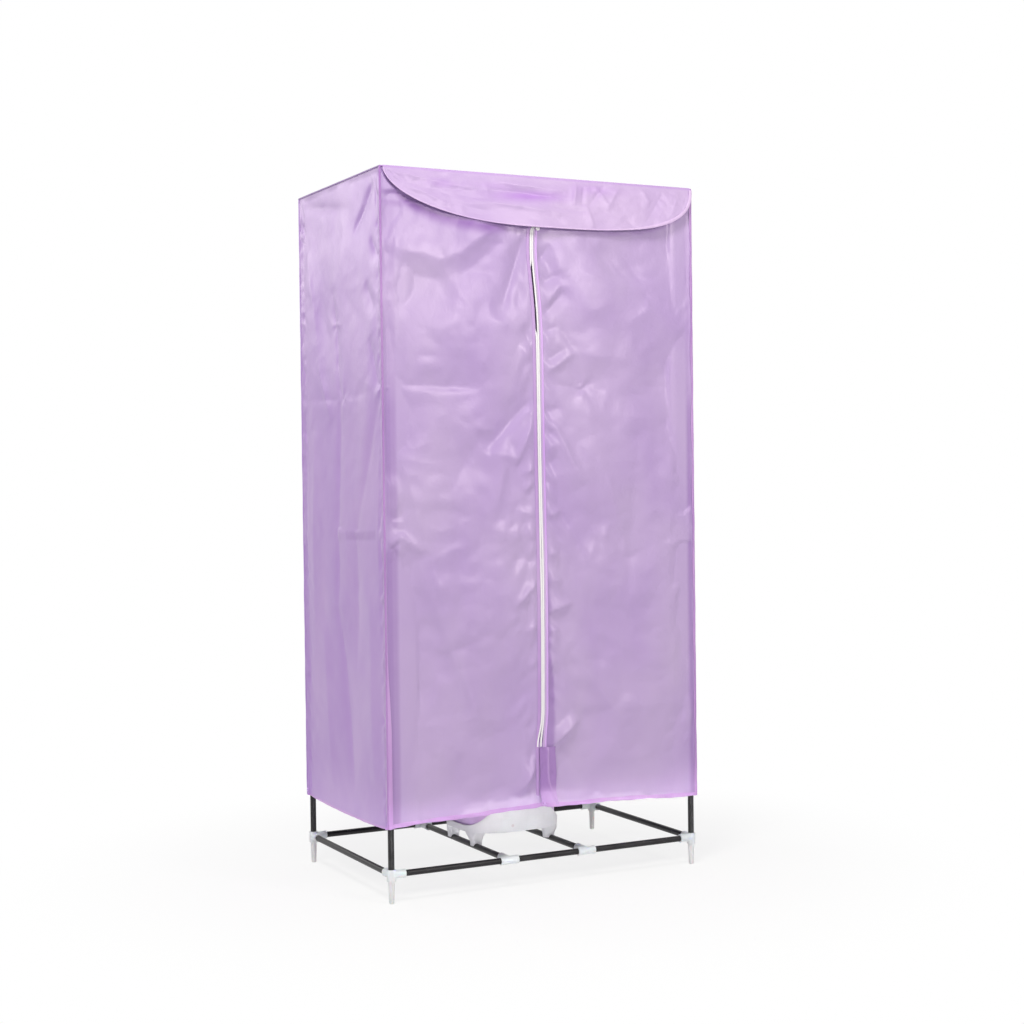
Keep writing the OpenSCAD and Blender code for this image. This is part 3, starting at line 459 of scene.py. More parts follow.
# finishes of the nodes that are carried over from the CAD, and of the heater, by material slot
slot_finishes = {
    "black_tube": paint_finish(),
    "white_connector": plastic_finish("connector_plastic", (0.82, 0.82, 0.84), 0.38, Subsurface_Weight=0.15),
    "zip_slider": plastic_finish("zip_slider_coating", (0.86, 0.84, 0.87), 0.3),
    "heater_white": plastic_finish("heater_base_plastic", (0.86, 0.86, 0.90), 0.36),
    "heater_lilac": plastic_finish("heater_dome_plastic", (0.72, 0.50, 0.86), 0.34),
    "bare_metal": metal_finish(),
    "black_plastic": plastic_finish("black_plastic", (0.025, 0.025, 0.027), 0.5),
    "lamp_lens": plastic_finish("lamp_lens", (0.80, 0.74, 0.78), 0.2),
}


def finish_cad_nodes():
    """Each carried-over node takes the finish of its slot in the record."""
    for part in frame["record"]["subparts"]:
        material = slot_finishes.get(part["material_slot"])
        if material:
            mesh = nodes[part["node"]].data
            mesh.materials.clear()
            mesh.materials.append(material)


def dress(piece, finish, body, slot, *replaced):
    """Gives a piece its material, from its finish or else its slot's finish, and its body, and hides the
    nodes that it stands for.
    """
    piece.data.materials.clear()
    piece.data.materials.append(finishes[finish] if finish else slot_finishes[slot])
    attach(piece, body)
    if replaced:
        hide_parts(*replaced)
    return piece


def neighbours(values):
    """The values below, above, before and after each one of a grid."""
    ring = np.pad(values, 1, mode="edge")
    return ring[:-2, 1:-1], ring[2:, 1:-1], ring[1:-1, :-2], ring[1:-1, 2:]


def bend(values):
    """Four times each value of a grid, less its four neighbours."""
    below, above, before, after = neighbours(values)
    return values * 4 - below - above - before - after


def settle(start, place, ease_across, ease_up, free, aim, hold, deepest, rounds, seed):
    """Cloth let go from a start on a grid of (across, out, up) points.

    Every pair of neighbours, straight and diagonal, is moved towards its distance in the flat cut,
    which is its distance in place times 1 plus the ease there. A bending step takes out a share of
    each point's fourth difference. hold draws the cloth softly towards the depth aim; free is 0
    where it is sewn down; deepest is how far in the tubes let it go. The points keep a share of their
    last move, so that waves can travel.
    """
    rows, cols = place.shape[:2]
    p = start.copy()
    p[..., 1] += 0.0004 * np.random.default_rng(seed).normal(size=(rows, cols)) * free
    fixed = place.copy()
    free = free[..., None].astype(float)

    def rest(a, b, ease):
        return length(place[b] - place[a]) * (1 + (ease[a] + ease[b]) / 2)[..., None]

    every, fore, rear = slice(None), slice(None, -1), slice(1, None)
    steps = [(slice(first, -1, 2), slice(first + 1, None, 2)) for first in (0, 1)]
    links = []
    for here, there in steps:
        links += [((every, here), (every, there), ease_across), ((here, every), (there, every), ease_up)]
    mixed = (ease_across + ease_up) / 2
    for here, there in steps:
        links += [((here, lo), (there, hi), mixed) for lo, hi in ((fore, rear), (rear, fore))]
    pairs = []
    for a, b, ease in links:
        wa, wb = free[a], free[b]
        total = np.maximum(wa + wb, 1e-9)
        pairs.append((a, b, rest(a, b, ease), wa / total, wb / total))

    last = p.copy()
    for k in range(rounds):
        step = 0.82 * (p - last)
        last = p.copy()
        p += step * free
        p[..., 1] += hold * (aim - p[..., 1]) * free[..., 0]
        p[..., 2] -= 0.00001 * free[..., 0]
        for a, b, want, wa, wb in pairs:
            d = p[b] - p[a]
            now = length(d)
            move = 0.9 * (1 - want / now) * d
            p[a] += move * wa
            p[b] -= move * wb
        p[..., 1] -= 0.012 * bend(bend(p[..., 1])) * free[..., 0]
        np.maximum(p[..., 1], deepest, out=p[..., 1])
        p = np.where(free > 0, p, fixed)
    return p


def crown(distance, radius):
    """Outermost surface of a round bar behind the seams' plane, at a distance from its axis.

    Its top is widened by half a cell, so that cloth laid over it on a grid clears the bar.
    """
    beside = np.maximum(np.abs(distance) - CELL / 2, 0)
    over = np.sqrt(np.maximum(radius**2 - beside**2, 0))
    return np.where(beside < radius, -TUBE_INSET + over, -1.0)


def black_tubes(across, up, half):
    """Outermost surface of the tubes behind a panel: two posts, a top rail and, on a side, a middle rail."""
    post = POSTS[half]
    bars = [np.abs(across) - post, up - TOP_Z] + ([up - MID_Z] if half == PANEL_HALF_Y else [])
    return np.max([crown(bar, TUBE_R) for bar in bars], axis=0)


def white_joints(across, up, half):
    """Outermost surface of the connectors behind a panel: corner sockets, and tees on a side's rails."""
    post = POSTS[half]
    near_post = np.abs(across) - post
    level = np.minimum(np.abs(up - MID_Z), np.abs(up - TOP_Z))
    reach = SOCKET_REACH + CELL / 2
    upright = np.where(level < reach, crown(near_post, COLLAR_R), -1.0)
    rail = np.where(np.abs(near_post) < reach, crown(up - TOP_Z, COLLAR_R), -1.0)
    if half == PANEL_HALF_X:
        return np.maximum(upright, rail)
    reach = (np.abs(near_post) < reach) | (np.abs(across) < TEE_HALF + CELL / 2)
    rails = np.maximum(crown(up - TOP_Z, COLLAR_R), crown(up - MID_Z, COLLAR_R))
    return np.maximum(upright, np.where(reach, rails, -1.0))


def behind_cloth(across, up, half):
    """Outermost surface of everything that a panel lies on."""
    return np.maximum(black_tubes(across, up, half), white_joints(across, up, half))


def crease(across, up, ax, ay, bx, by, height, left, right):
    """Height of one fold on the line from a to b, in millimetres: a ridge, or a valley if height is
    below 0, that falls away over left and right on the two sides of the way from a to b, and fades
    towards both ends."""
    a, b = np.array([ax, ay]) * MM, np.array([bx, by]) * MM
    long = np.hypot(*(b - a))
    way = (b - a) / long
    along = ((across - a[0]) * way[0] + (up - a[1]) * way[1]) / long
    off = (up - a[1]) * way[0] - (across - a[0]) * way[1]
    fade = np.sin(math.pi * np.clip(along, 0, 1)) ** 0.6
    width = np.where(off > 0, left, right) * MM
    return height * MM * fade * np.exp(-(np.sqrt(off**2 + FOLD_R**2) - FOLD_R) / width)


def swell(across, up, at, height, size, turn=0.0):
    """Height of one soft hump, or hollow: a bell over an ellipse of that size, turned by some degrees."""
    c, s = math.cos(math.radians(turn)), math.sin(math.radians(turn))
    dx, dz = across - at[0] * MM, up - at[1] * MM
    u, v = (dx * c + dz * s) / (size[0] * MM), (dz * c - dx * s) / (size[1] * MM)
    return height * MM * np.exp(-(u**2) - v**2)


def star(across, up, at, height, reach, arms=4, turn=0.3):
    """A small star of ridges and hollows, where two packing folds cross."""
    dx, dz = across - at[0] * MM, up - at[1] * MM
    r = np.hypot(dx, dz)
    rays = np.cos(arms * np.arctan2(dz, dx) + turn)
    return height * MM * rays * np.exp(-r / (reach * MM)) * smooth(r / (5 * MM))


def relief(across, up, name):
    """All the folds, humps and stars that are listed for a panel."""
    marks = RELIEF[name]
    total = np.zeros_like(across)
    for kind, shape in (("folds", crease), ("swells", swell), ("stars", star)):
        for mark in marks.get(kind, ()):
            total = total + shape(across, up, *mark)
    return total


def packing_folds(across, up, heights, depths):
    """The cover was packed flat: level folds at those heights, straight cloth between them."""
    z = np.array([HEM_Z - 0.03, *[h * MM for h in heights], SEAM_Z])
    d = np.array([0, *[x * MM for x in depths], 0])
    wander = 0.004 * np.sin(across * 9 + 1) + 0.003 * np.sin(across * 23)
    return np.interp(up + wander, z, d)


# folds: x and height of both ends, the fold's height, its width to the left and to the right, in millimetres
RELIEF = {
    "front_left": {
        "folds": [
            (-350, 1062, -150, 1060, -3, 30, 7), (-345, 1340, -215, 1322, 3.5, 60, 18),
            (-225, 1320, -95, 1405, 4.5, 60, 22), (-330, 1292, -205, 1280, -3.5, 20, 70),
            (-210, 1275, -95, 1368, -3, 22, 60), (-46, 1375, -105, 1200, -4.5, 12, 28),
            (-364, 1335, -315, 1428, 3, 12, 26), (-372, 1452, -285, 1457, 1.6, 4, 4),
            (-372, 1428, -270, 1433, 1.8, 4, 5), (-12, 1052, -142, 928, -6.5, 18, 48),
            (-22, 1010, -72, 898, 4.5, 10, 14), (-126, 930, -60, 908, 2.5, 8, 14),
            (-124, 932, -95, 886, 1.6, 7, 7), (-96, 900, -123, 785, 2, 7, 14),
            (-340, 930, -215, 520, 5.5, 70, 26), (-300, 700, -150, 330, 4, 60, 22),
            (-145, 970, -230, 830, -3.5, 40, 60), (-368, 733, -328, 757, 2.5, 8, 9),
            (-342, 756, -285, 720, 2.5, 14, 10), (-80, 200, -26, 268, 5.5, 18, 8),
            (-52, 204, -24, 178, 3, 8, 8), (-286, 362, -257, 367, 0.9, 3, 3),
            (-190, 460, -174, 385, 1.2, 8, 9), (-58, 878, -16, 891, 2.6, 7, 9),
            (-54, 840, -16, 868, 2.8, 9, 7), (-70, 803, -16, 783, 2.2, 9, 8),
            (-108, 780, -100, 735, 1.8, 8, 8), (-76, 772, -62, 735, 1.8, 9, 8),
            (-52, 770, -20, 730, 2.2, 9, 9), (-84, 596, -18, 652, 2.8, 10, 9),
            (-80, 700, -18, 690, -1.5, 10, 9), (-52, 1188, -18, 1130, -3, 9, 9),
            (-60, 1150, -20, 1100, 2, 12, 9), (-60, 540, -18, 560, 1.6, 9, 9),
            (-50, 470, -20, 480, 1.2, 9, 9),
        ],
        "swells": [
            ((-215, 1180), 3, (110, 80)), ((-290, 600), -2.5, (60, 150)),
            ((-110, 600), 2.5, (80, 120), 20), ((-230, 330), 2, (90, 110)), ((-90, 400), -2, (60, 90)),
        ],
        "stars": [((-352, 1054), 2.4, 20), ((-352, 726), 1.4, 16, 3)],
    },
    "front_right": {
        "folds": [
            (-12, 1322, 14, 1362, -3, 8, 8), (-6, 1281, 44, 1306, -2.6, 9, 9),
            (-4, 1210, 52, 1272, -3.4, 9, 12), (2, 1232, 40, 1282, 2.6, 8, 7),
            (-2, 1177, 34, 1193, -2.6, 7, 8), (26, 1208, 72, 1138, -1.8, 9, 7),
            (-4, 1110, 52, 1146, -3, 9, 7), (2, 1090, 76, 1140, 3.6, 14, 5),
            (0, 1066, 150, 1060, -3.2, 22, 7), (200, 1070, 350, 1066, -1.2, 20, 9),
            (112, 1382, 192, 1287, -2.2, 6, 11), (135, 1376, 220, 1286, -2.2, 7, 10),
            (180, 1370, 250, 1290, -1.8, 8, 10), (243, 1246, 362, 1178, 4.5, 30, 30),
            (200, 1200, 262, 1246, 3, 40, 20), (16, 992, 90, 856, 5, 10, 30),
            (30, 800, 56, 764, -1.6, 6, 6), (50, 775, 96, 684, -1.6, 6, 6),
            (134, 714, 156, 778, 1.5, 8, 6), (92, 684, 121, 734, 1.5, 8, 6), (0, 580, 62, 602, 3.2, 14, 5),
            (0, 786, 38, 799, 2.2, 7, 7), (322, 586, 352, 594, 1.2, 4, 4), (2, 294, 76, 354, 5.5, 15, 6),
            (-2, 1010, 40, 1018, -2.4, 8, 9), (-2, 955, 24, 968, -2.4, 7, 7),
            (-2, 925, 30, 945, 2.2, 7, 7), (-2, 893, 30, 912, -2.2, 8, 7), (-2, 700, 30, 712, 1.8, 7, 7),
            (-2, 655, 34, 645, 1.8, 7, 7), (-2, 540, 30, 548, 1.6, 8, 8),
            (110, 1060, 96, 800, 1.8, 30, 22), (110, 960, 205, 700, 4.5, 60, 22),
            (230, 1000, 200, 620, -3, 60, 50), (318, 960, 300, 560, 2.6, 40, 50),
            (60, 500, 190, 330, 3.5, 50, 20),
        ],
        "swells": [
            ((120, 1240), 4.5, (70, 110), 10), ((280, 1090), -4, (70, 110), 10),
            ((290, 420), 2.5, (80, 130)), ((110, 420), -2.5, (60, 110)), ((180, 640), 2.5, (60, 90), 30),
        ],
        "stars": [((94, 1064), 2.6, 20, 4, 0.8)],
    },
    "left": {
        "folds": [
            (-210, 1478, 70, 1440, -2, 22, 11), (200, 1476, 150, 1436, -2.6, 12, 6),
            (158, 1440, 88, 1390, -2.8, 12, 5), (236, 1404, 208, 1386, -2.6, 7, 5),
            (178, 1366, 212, 1322, -2.4, 6, 6), (208, 1324, 234, 1326, -2.4, 5, 5),
            (-47, 1290, -24, 1150, -1.6, 12, 9), (-28, 1200, -8, 1050, -2.2, 14, 10),
            (-12, 1060, -22, 780, -2.6, 18, 14), (-20, 830, -36, 560, -2.6, 18, 14),
            (-34, 600, 40, 210, -4.5, 46, 24), (205, 1040, 72, 750, -4.5, 50, 50),
            (82, 810, 58, 470, -4, 44, 44), (163, 1165, 208, 1050, -3, 14, 16),
            (146, 1280, 190, 1212, -2.6, 12, 18), (-205, 1046, 205, 1052, -1, 20, 7),
            (210, 376, 237, 346, -1.4, 4, 5), (-190, 1380, -130, 1130, 2.5, 26, 40),
            (-140, 1140, -60, 1000, 2.4, 22, 30), (-160, 980, -170, 500, 2.6, 40, 30),
            (150, 640, 160, 240, 2.4, 40, 50), (-120, 560, -80, 190, 2.6, 40, 50),
        ],
        "swells": [
            ((0, 1360), 3, (150, 80)), ((-110, 1220), -2.5, (70, 90)), ((120, 900), 2.5, (40, 120), -12),
        ],
        "stars": [((-30, 1209), 1.6, 16), ((10, 1050), 1.8, 16), ((226, 1050), 2, 16)],
    },
    "right": {
        "folds": [
            (-90, 1438, 210, 1472, -3.5, 26, 11), (-196, 1470, -90, 1404, -2.4, 5, 10),
            (24, 1290, 14, 1050, -2, 10, 12), (18, 1060, 30, 600, -2.4, 14, 18),
            (30, 620, -36, 210, -4, 24, 44), (-190, 1030, -80, 640, -4, 50, 50),
            (-205, 1052, 205, 1046, -2.4, 20, 7), (150, 1340, 110, 1000, 2.6, 40, 30),
            (150, 900, 170, 400, 2.6, 40, 36), (-150, 560, -130, 220, 2.4, 50, 40),
        ],
        "swells": [((10, 1350), 3, (140, 80)), ((100, 760), -2.5, (60, 120))],
        "stars": [((24, 1050), 1.8, 16), ((-226, 1050), 1.8, 16)],
    },
    "back": {
        "folds": [
            (-350, 1062, 350, 1058, -3, 26, 8), (-350, 640, 350, 636, -2, 20, 8),
            (4, 1480, 8, 170, -2.6, 22, 18), (-250, 1400, -110, 1160, -4, 40, 30),
            (260, 1320, 120, 980, 4, 40, 50), (-190, 900, -245, 300, 4.5, 60, 50),
            (150, 820, 215, 240, -4.5, 60, 50), (70, 1260, 40, 660, 3, 60, 50),
            (-330, 1460, -150, 1440, -3, 20, 12), (160, 1445, 335, 1468, -3, 20, 12),
        ],
        "swells": [((-120, 760), 4, (90, 130)), ((220, 560), 3, (80, 120)), ((-240, 1180), -3, (70, 90))],
        "stars": [((6, 1060), 2.4, 20), ((6, 638), 1.8, 18)],
    },
}


STAND = {
    "front": lambda p: np.stack([p[..., 0], -SEAM_Y - p[..., 1], p[..., 2]], -1),
    "back": lambda p: np.stack([-p[..., 0], SEAM_Y + p[..., 1], p[..., 2]], -1),
    "left": lambda p: np.stack([-SEAM_X - p[..., 1], -p[..., 0], p[..., 2]], -1),
    "right": lambda p: np.stack([SEAM_X + p[..., 1], p[..., 0], p[..., 2]], -1),
}


def front_hem(x):
    """Height of the front hem: it rises left of the middle."""
    share = np.clip((x + SEAM_X) / (2 * SEAM_X), 0, 1)
    return HEM_Z + 17 * MM * np.sin(math.pi * share**0.8) + 4 * MM * bell(x, 0.18, 0.11)


def zip_line(z):
    """Place of the zip across the front: it leans left under the flap and at its lower end."""
    lean_top = 13 * MM * bell(z, 1.355, 0.11) * smooth((1.414 - z) / 0.026)
    lean_low = 5 * MM * smooth((0.38 - z) / 0.085)
    bulge = 1.6 * MM * bell(z, 0.6, 0.2)
    return ZIP_X - lean_top - lean_low + bulge + 1.2 * MM * np.sin((z - 0.3) * 5.2)


def burst(z):
    """Where the zip's left row has parted from the right one and lies behind the cloth's edge, 0 to 1."""
    return smooth((1.330 - z) / 0.03) * smooth((z - 1.165) / 0.03)


def zip_split(z, side):
    """How far a row stands from the zip's middle: a hair, more at half height, and at the lower end
    both rows swing left, the left one more."""
    middle = 0.35 * MM * bell(z, 0.70, 0.08)
    return middle + (6.0 if side < 0 else -2.3) * MM * smooth((0.352 - z) / 0.055)


def cloth_edge(z):
    """Distance of a front panel's edge from the zip's middle: less below the zip and above it."""
    beside = smooth((z - ZIP_LOW + 12 * MM) / (10 * MM)) * smooth((ZIP_HIGH + 1 * MM - z) / (4 * MM))
    return 0.4 * MM + (CLOTH_EDGE - 0.4 * MM) * beside


def columns(width, fine, coarse, zone=60 * MM):
    """Shares of a width where the columns stand: fine cells near both ends, coarse ones between."""
    at = np.linspace(0, 1, 2001)
    near = np.minimum(at, 1 - at) * width
    cell = fine + (coarse - fine) * smooth((near - zone / 2) / zone)
    rank = np.concatenate([[0], np.cumsum(2 / (cell[1:] + cell[:-1]) * np.diff(at) * width)])
    return np.interp(np.linspace(0, rank[-1], int(round(rank[-1])) + 1), rank, at)


def panel_grid(left, right, low, high, fine, coarse, cell=CELL):
    """A flat grid of (across, out, up) points between two edges, which may be functions of height."""
    rows = int(round((high - HEM_Z) / cell)) + 1
    level = np.linspace(0, 1, rows)[:, None]
    z_guess = HEM_Z + (high - HEM_Z) * level
    x0 = left(z_guess) if callable(left) else np.full_like(z_guess, left)
    x1 = right(z_guess) if callable(right) else np.full_like(z_guess, right)
    share = columns(np.abs(x1 - x0).mean(), fine, coarse)[None]
    x = x0 + (x1 - x0) * share
    bottom = low(x) if callable(low) else np.full_like(x, low)
    z = bottom + (high - bottom) * level
    return np.stack([x, np.zeros_like(x), z], -1)


def crumple(shape, cells, seed):
    """Cloth that was crushed once: flat facets that meet in small sharp ridges and valleys."""
    return np.abs(soft_noise(shape, cells, seed)) - np.abs(soft_noise(shape, cells, seed + 1))


def tented(deepest):
    """Depth of cloth stretched over the tubes: it leaves each one at a slope instead of a step."""
    over = top = np.maximum(deepest, -9 * MM)
    for _ in range(14):
        below, above, before, after = neighbours(top)
        top = np.maximum(over, (below + above + before + after) / 4)
    return top


def sew(place, half, aim, pressed, ease_across, ease_up, hold, seed, sewn=False):
    """Settles a panel that is sewn down at its top and along both of its upright edges.

    pressed is the relief of the creases that stay in the cloth; most of it is added once it has settled.
    """

    def behind(points):
        return behind_cloth(points[..., 0], points[..., 2], half) + CLOTH_T

    free = np.ones(place.shape[:2])
    free[-1] = free[:, 0] = free[:, -1] = 0
    free[sewn] = 0
    deepest = behind(place)
    aim = np.maximum(aim + pressed, tented(deepest))
    start = place.copy()
    start[..., 1] = np.where(free > 0, aim, place[..., 1])
    shape = settle(start, place, ease_across, ease_up, free, aim, hold, deepest, ROUNDS, seed)
    out = np.maximum(shape[..., 1] + 0.7 * pressed, behind(shape))
    shape[..., 1] = np.where(free > 0, out, shape[..., 1])
    return shape


def painted_tube_shade(across, up, half, out, blur=3 * MM):
    """Painted shade where the black tubes show through the cloth: by its gap to them, and beside them over
    the blur.
    """
    post = POSTS[half]
    bars = [np.abs(across) - post] + ([up - MID_Z] if half == PANEL_HALF_Y else [])
    beside = np.min([np.abs(bar) for bar in bars], axis=0)
    over = smooth((TUBE_R + blur - beside) / blur)
    gap = out + TUBE_INSET - TUBE_R
    joint = white_joints(across, up, half) > -TUBE_INSET
    return over * smooth(1 - gap / (7 * MM)) * np.where(joint, 0.15, 1.0)


def seam_ease(distance, amount, reach):
    """Spare length of cloth gathered into a seam, fading with the distance from it."""
    return amount * bell(distance, 0, reach)


def stand(name, shape, seen):
    """A panel on a grid twice as fine, stood on its side of the cabinet, and the values that go with it."""
    return STAND[name](finer(shape, 2)), finer(seen[..., None], 2)[..., 0]


def crushed(shape, *layers):
    """Crumpled cloth: layers of a height in millimetres, a number of cells each way and a seed."""
    return sum(height * MM * crumple(shape, cells, seed) for height, cells, seed in layers)


def tucked(from_seam, depth, reach, fade):
    """Depth that a panel is drawn in beside its seam: full at the reach, then fading."""
    return -depth * MM * np.minimum(1, from_seam / (reach * MM)) * bell(from_seam, 0, fade * MM)


def proud(x, side):
    """How far the front stands out at the zip, which lies a little before the corner seams."""
    return DRAWN_IN * smooth((PANEL_HALF_X - side * x) / (250 * MM))


def painted_hem_highlight(x, above_hem):
    """Painted highlight above the front's hem, 0 to 1: a taller patch next to the zip."""
    left = np.where(x < -0.150, 20 * smooth((x + 0.262) / 0.10), 25 + 5 * smooth((x + 0.10) / 0.06))
    right = 9 + 9 * bell(x, 0.14, 0.09) + 3 * np.sin(x * 70) + 1.5 * np.sin(x * 173)
    high = (np.where(x < -0.02, left, right) + 2 * np.sin(x * 121)) * MM
    high = high * smooth((PANEL_HALF_X - x) / (40 * MM))
    return smooth((high - above_hem) / (4 * MM)) * np.where(x < -0.150, 0.75, 1.0)


def flare(x, above_hem):
    """The front kicks out above its hem, most on both sides of the zip, with a step left of it."""
    left = smooth((x + 0.262) / 0.11) * (1 - 0.45 * smooth((x + 0.150) / 0.004) * smooth((-0.05 - x) / 0.08))
    right = 1 - 0.75 * smooth((x - 0.02) / 0.16) + 0.15 * np.sin(x * 70) * smooth((x - 0.02) / 0.1)
    high = (27 + 4 * np.sin(x * 37) + 3 * np.sin(x * 91)) * MM
    ends = smooth((PANEL_HALF_X - np.abs(x)) / (60 * MM))
    return 12 * MM * np.minimum(left, right) * ends * np.clip(1 - above_hem / high, 0, 1)


def front_aim(x, z, side):
    """Depth of a front panel, which is tucked behind its corner seam; and its pressed folds."""
    from_corner = PANEL_HALF_X - side * x
    from_zip = np.abs(x - zip_line(z))
    reach = (13 if side < 0 else 9) * MM
    tuck = 4.0 * MM * np.minimum(1, from_corner / reach) * bell((from_corner - reach).clip(0), 0, 70 * MM)
    packed = packing_folds(x, z, (600, 1062, 1431), (-3.0, 2.5, -1.5)) * smooth(from_zip / (60 * MM))
    inner = smooth(from_corner / (24 * MM))
    cloth = 3.5 * MM * soft_noise(x.shape, (9, 4), 301 + side) * smooth((from_zip - 15 * MM) / (60 * MM))
    folds = relief(x, z, "front_left" if side < 0 else "front_right")
    folds = folds + crushed(x.shape, (1.7, (16, 5), 401 + side), (0.7, (44, 13), 411 + side))
    pressed = folds * smooth((from_zip - SEWN_FLAT) / (8 * MM)) * smooth(from_corner / (12 * MM))
    pressed = pressed * (1 + 0.7 * smooth((0.95 - z) / 0.35))
    return proud(x, side) - tuck + (packed + cloth) * inner, pressed


def front_width(side):
    """Width of one half of the front, from its corner to the zip."""
    return PANEL_HALF_X + side * -ZIP_X - CLOTH_EDGE


def kept_width(side):
    """The share of its width that one half of the front keeps when it is drawn aside."""
    return (front_width(side) - DOOR_TRAVEL) / front_width(side)


def post_clearance(x, z, side):
    """Least depth of a front panel that stays before the post wherever the panel is drawn to."""
    corner = side * PANEL_HALF_X
    shares = np.linspace(kept_width(side), 1, 12)
    over = [behind_cloth(corner + (x - corner) * share, z, PANEL_HALF_X) for share in shares]
    return np.max(over, axis=0) + CLOTH_T + 0.2 * MM


def front_panel(side):
    """One half of the front, sewn to its corner seam, to the roof and to its row of the zip."""

    def zip_edge(z):
        return zip_line(z) + side * cloth_edge(z)

    limits = (-PANEL_HALF_X, zip_edge) if side < 0 else (zip_edge, PANEL_HALF_X)
    place = panel_grid(*limits, front_hem, PANEL_TOP, 4.4 * MM, 8 * MM)
    x, z = place[..., 0], place[..., 2]
    place[..., 1] = proud(x, side)
    from_zip = np.abs(x - zip_line(z))
    from_corner = PANEL_HALF_X - side * x
    patchy = 1 + 0.9 * soft_noise(x.shape, (26, 4), 11 + side)
    gathered = seam_ease((from_zip - SEWN_FLAT).clip(0), 0.020 if side < 0 else 0.048, 0.024)
    ease_up = gathered * patchy + seam_ease(from_corner, 0.022, 0.018) + 0.001
    ease_across = 0.0015 + 0.002 * soft_noise(x.shape, (9, 4), 21 + side)
    hold = 0.05 - 0.03 * bell(from_zip, 0, 0.04) - 0.02 * bell(from_corner, 0, 0.03)
    sewn = (from_zip < SEWN_FLAT) & (z > front_hem(x) + 20 * MM)
    aim, pressed = front_aim(x, z, side)
    shape = sew(place, PANEL_HALF_X, aim, pressed, ease_across, np.maximum(ease_up, 0), hold, 31 + side, sewn)
    shape[..., 1] = np.maximum(shape[..., 1], post_clearance(x, z, side)) + flare(x, z - front_hem(x))
    # painted shade: the tubes seen through the cloth and a dark strip beside the corner seam, less at the
    # middle joint and above z = 1.10
    tubes = painted_tube_shade(x, z, PANEL_HALF_X, shape[..., 1], 4 * MM)
    wide = (24 if side < 0 else 9) * MM
    fold = smooth((from_corner - 1 * MM) / (2 * MM)) * smooth((wide + 6 * MM - from_corner) / (6 * MM))
    joint = bell(z, MID_Z, 24 * MM)
    seen = (0.38 * fold * (1 - 0.6 * joint) + 0.15 * tubes) * (0.4 + 0.6 * smooth((1.10 - z) / 0.10))
    # painted shadow under the flap's edge, taller and darker on its left flank
    under_flap = FLAP_TOP - flap_edge(x) - z
    flank = smooth((-0.06 - x) / 0.08) * smooth((x + 0.36) / 0.05)
    plain, fading = (2 + 8 * flank) * MM, (12 + 13 * flank) * MM
    shaded = (0.55 + 0.35 * flank) * (0.6 + 0.4 * smooth((under_flap - 2 * MM) / (4 * MM)))
    seen = np.maximum(seen, shaded * smooth((plain + fading - under_flap) / fading))
    # painted shade: two fold bands left of the flap's left part; on the right half, a strip beside the zip's
    # lower part
    if side < 0:
        bands = bell(z, 1.452, 0.006) + bell(z, 1.430, 0.006)
        seen = np.maximum(seen, 0.55 * smooth((-0.28 - x) / 0.04) * bands)
    else:
        far = zip_line(z) + (20 + 12 * smooth((0.50 - z) / 0.08)) * MM
        beside = 0.55 * smooth((far - x) / (4 * MM))
        seen = seen + beside * smooth((0.72 - z) / 0.12) * smooth((z - 0.285) / 0.01)
    # painted highlight on the patches above the hem
    seen = seen - (0.5 if side < 0 else 0.33) * painted_hem_highlight(x, z - front_hem(x))
    return stand("front", shape, seen)


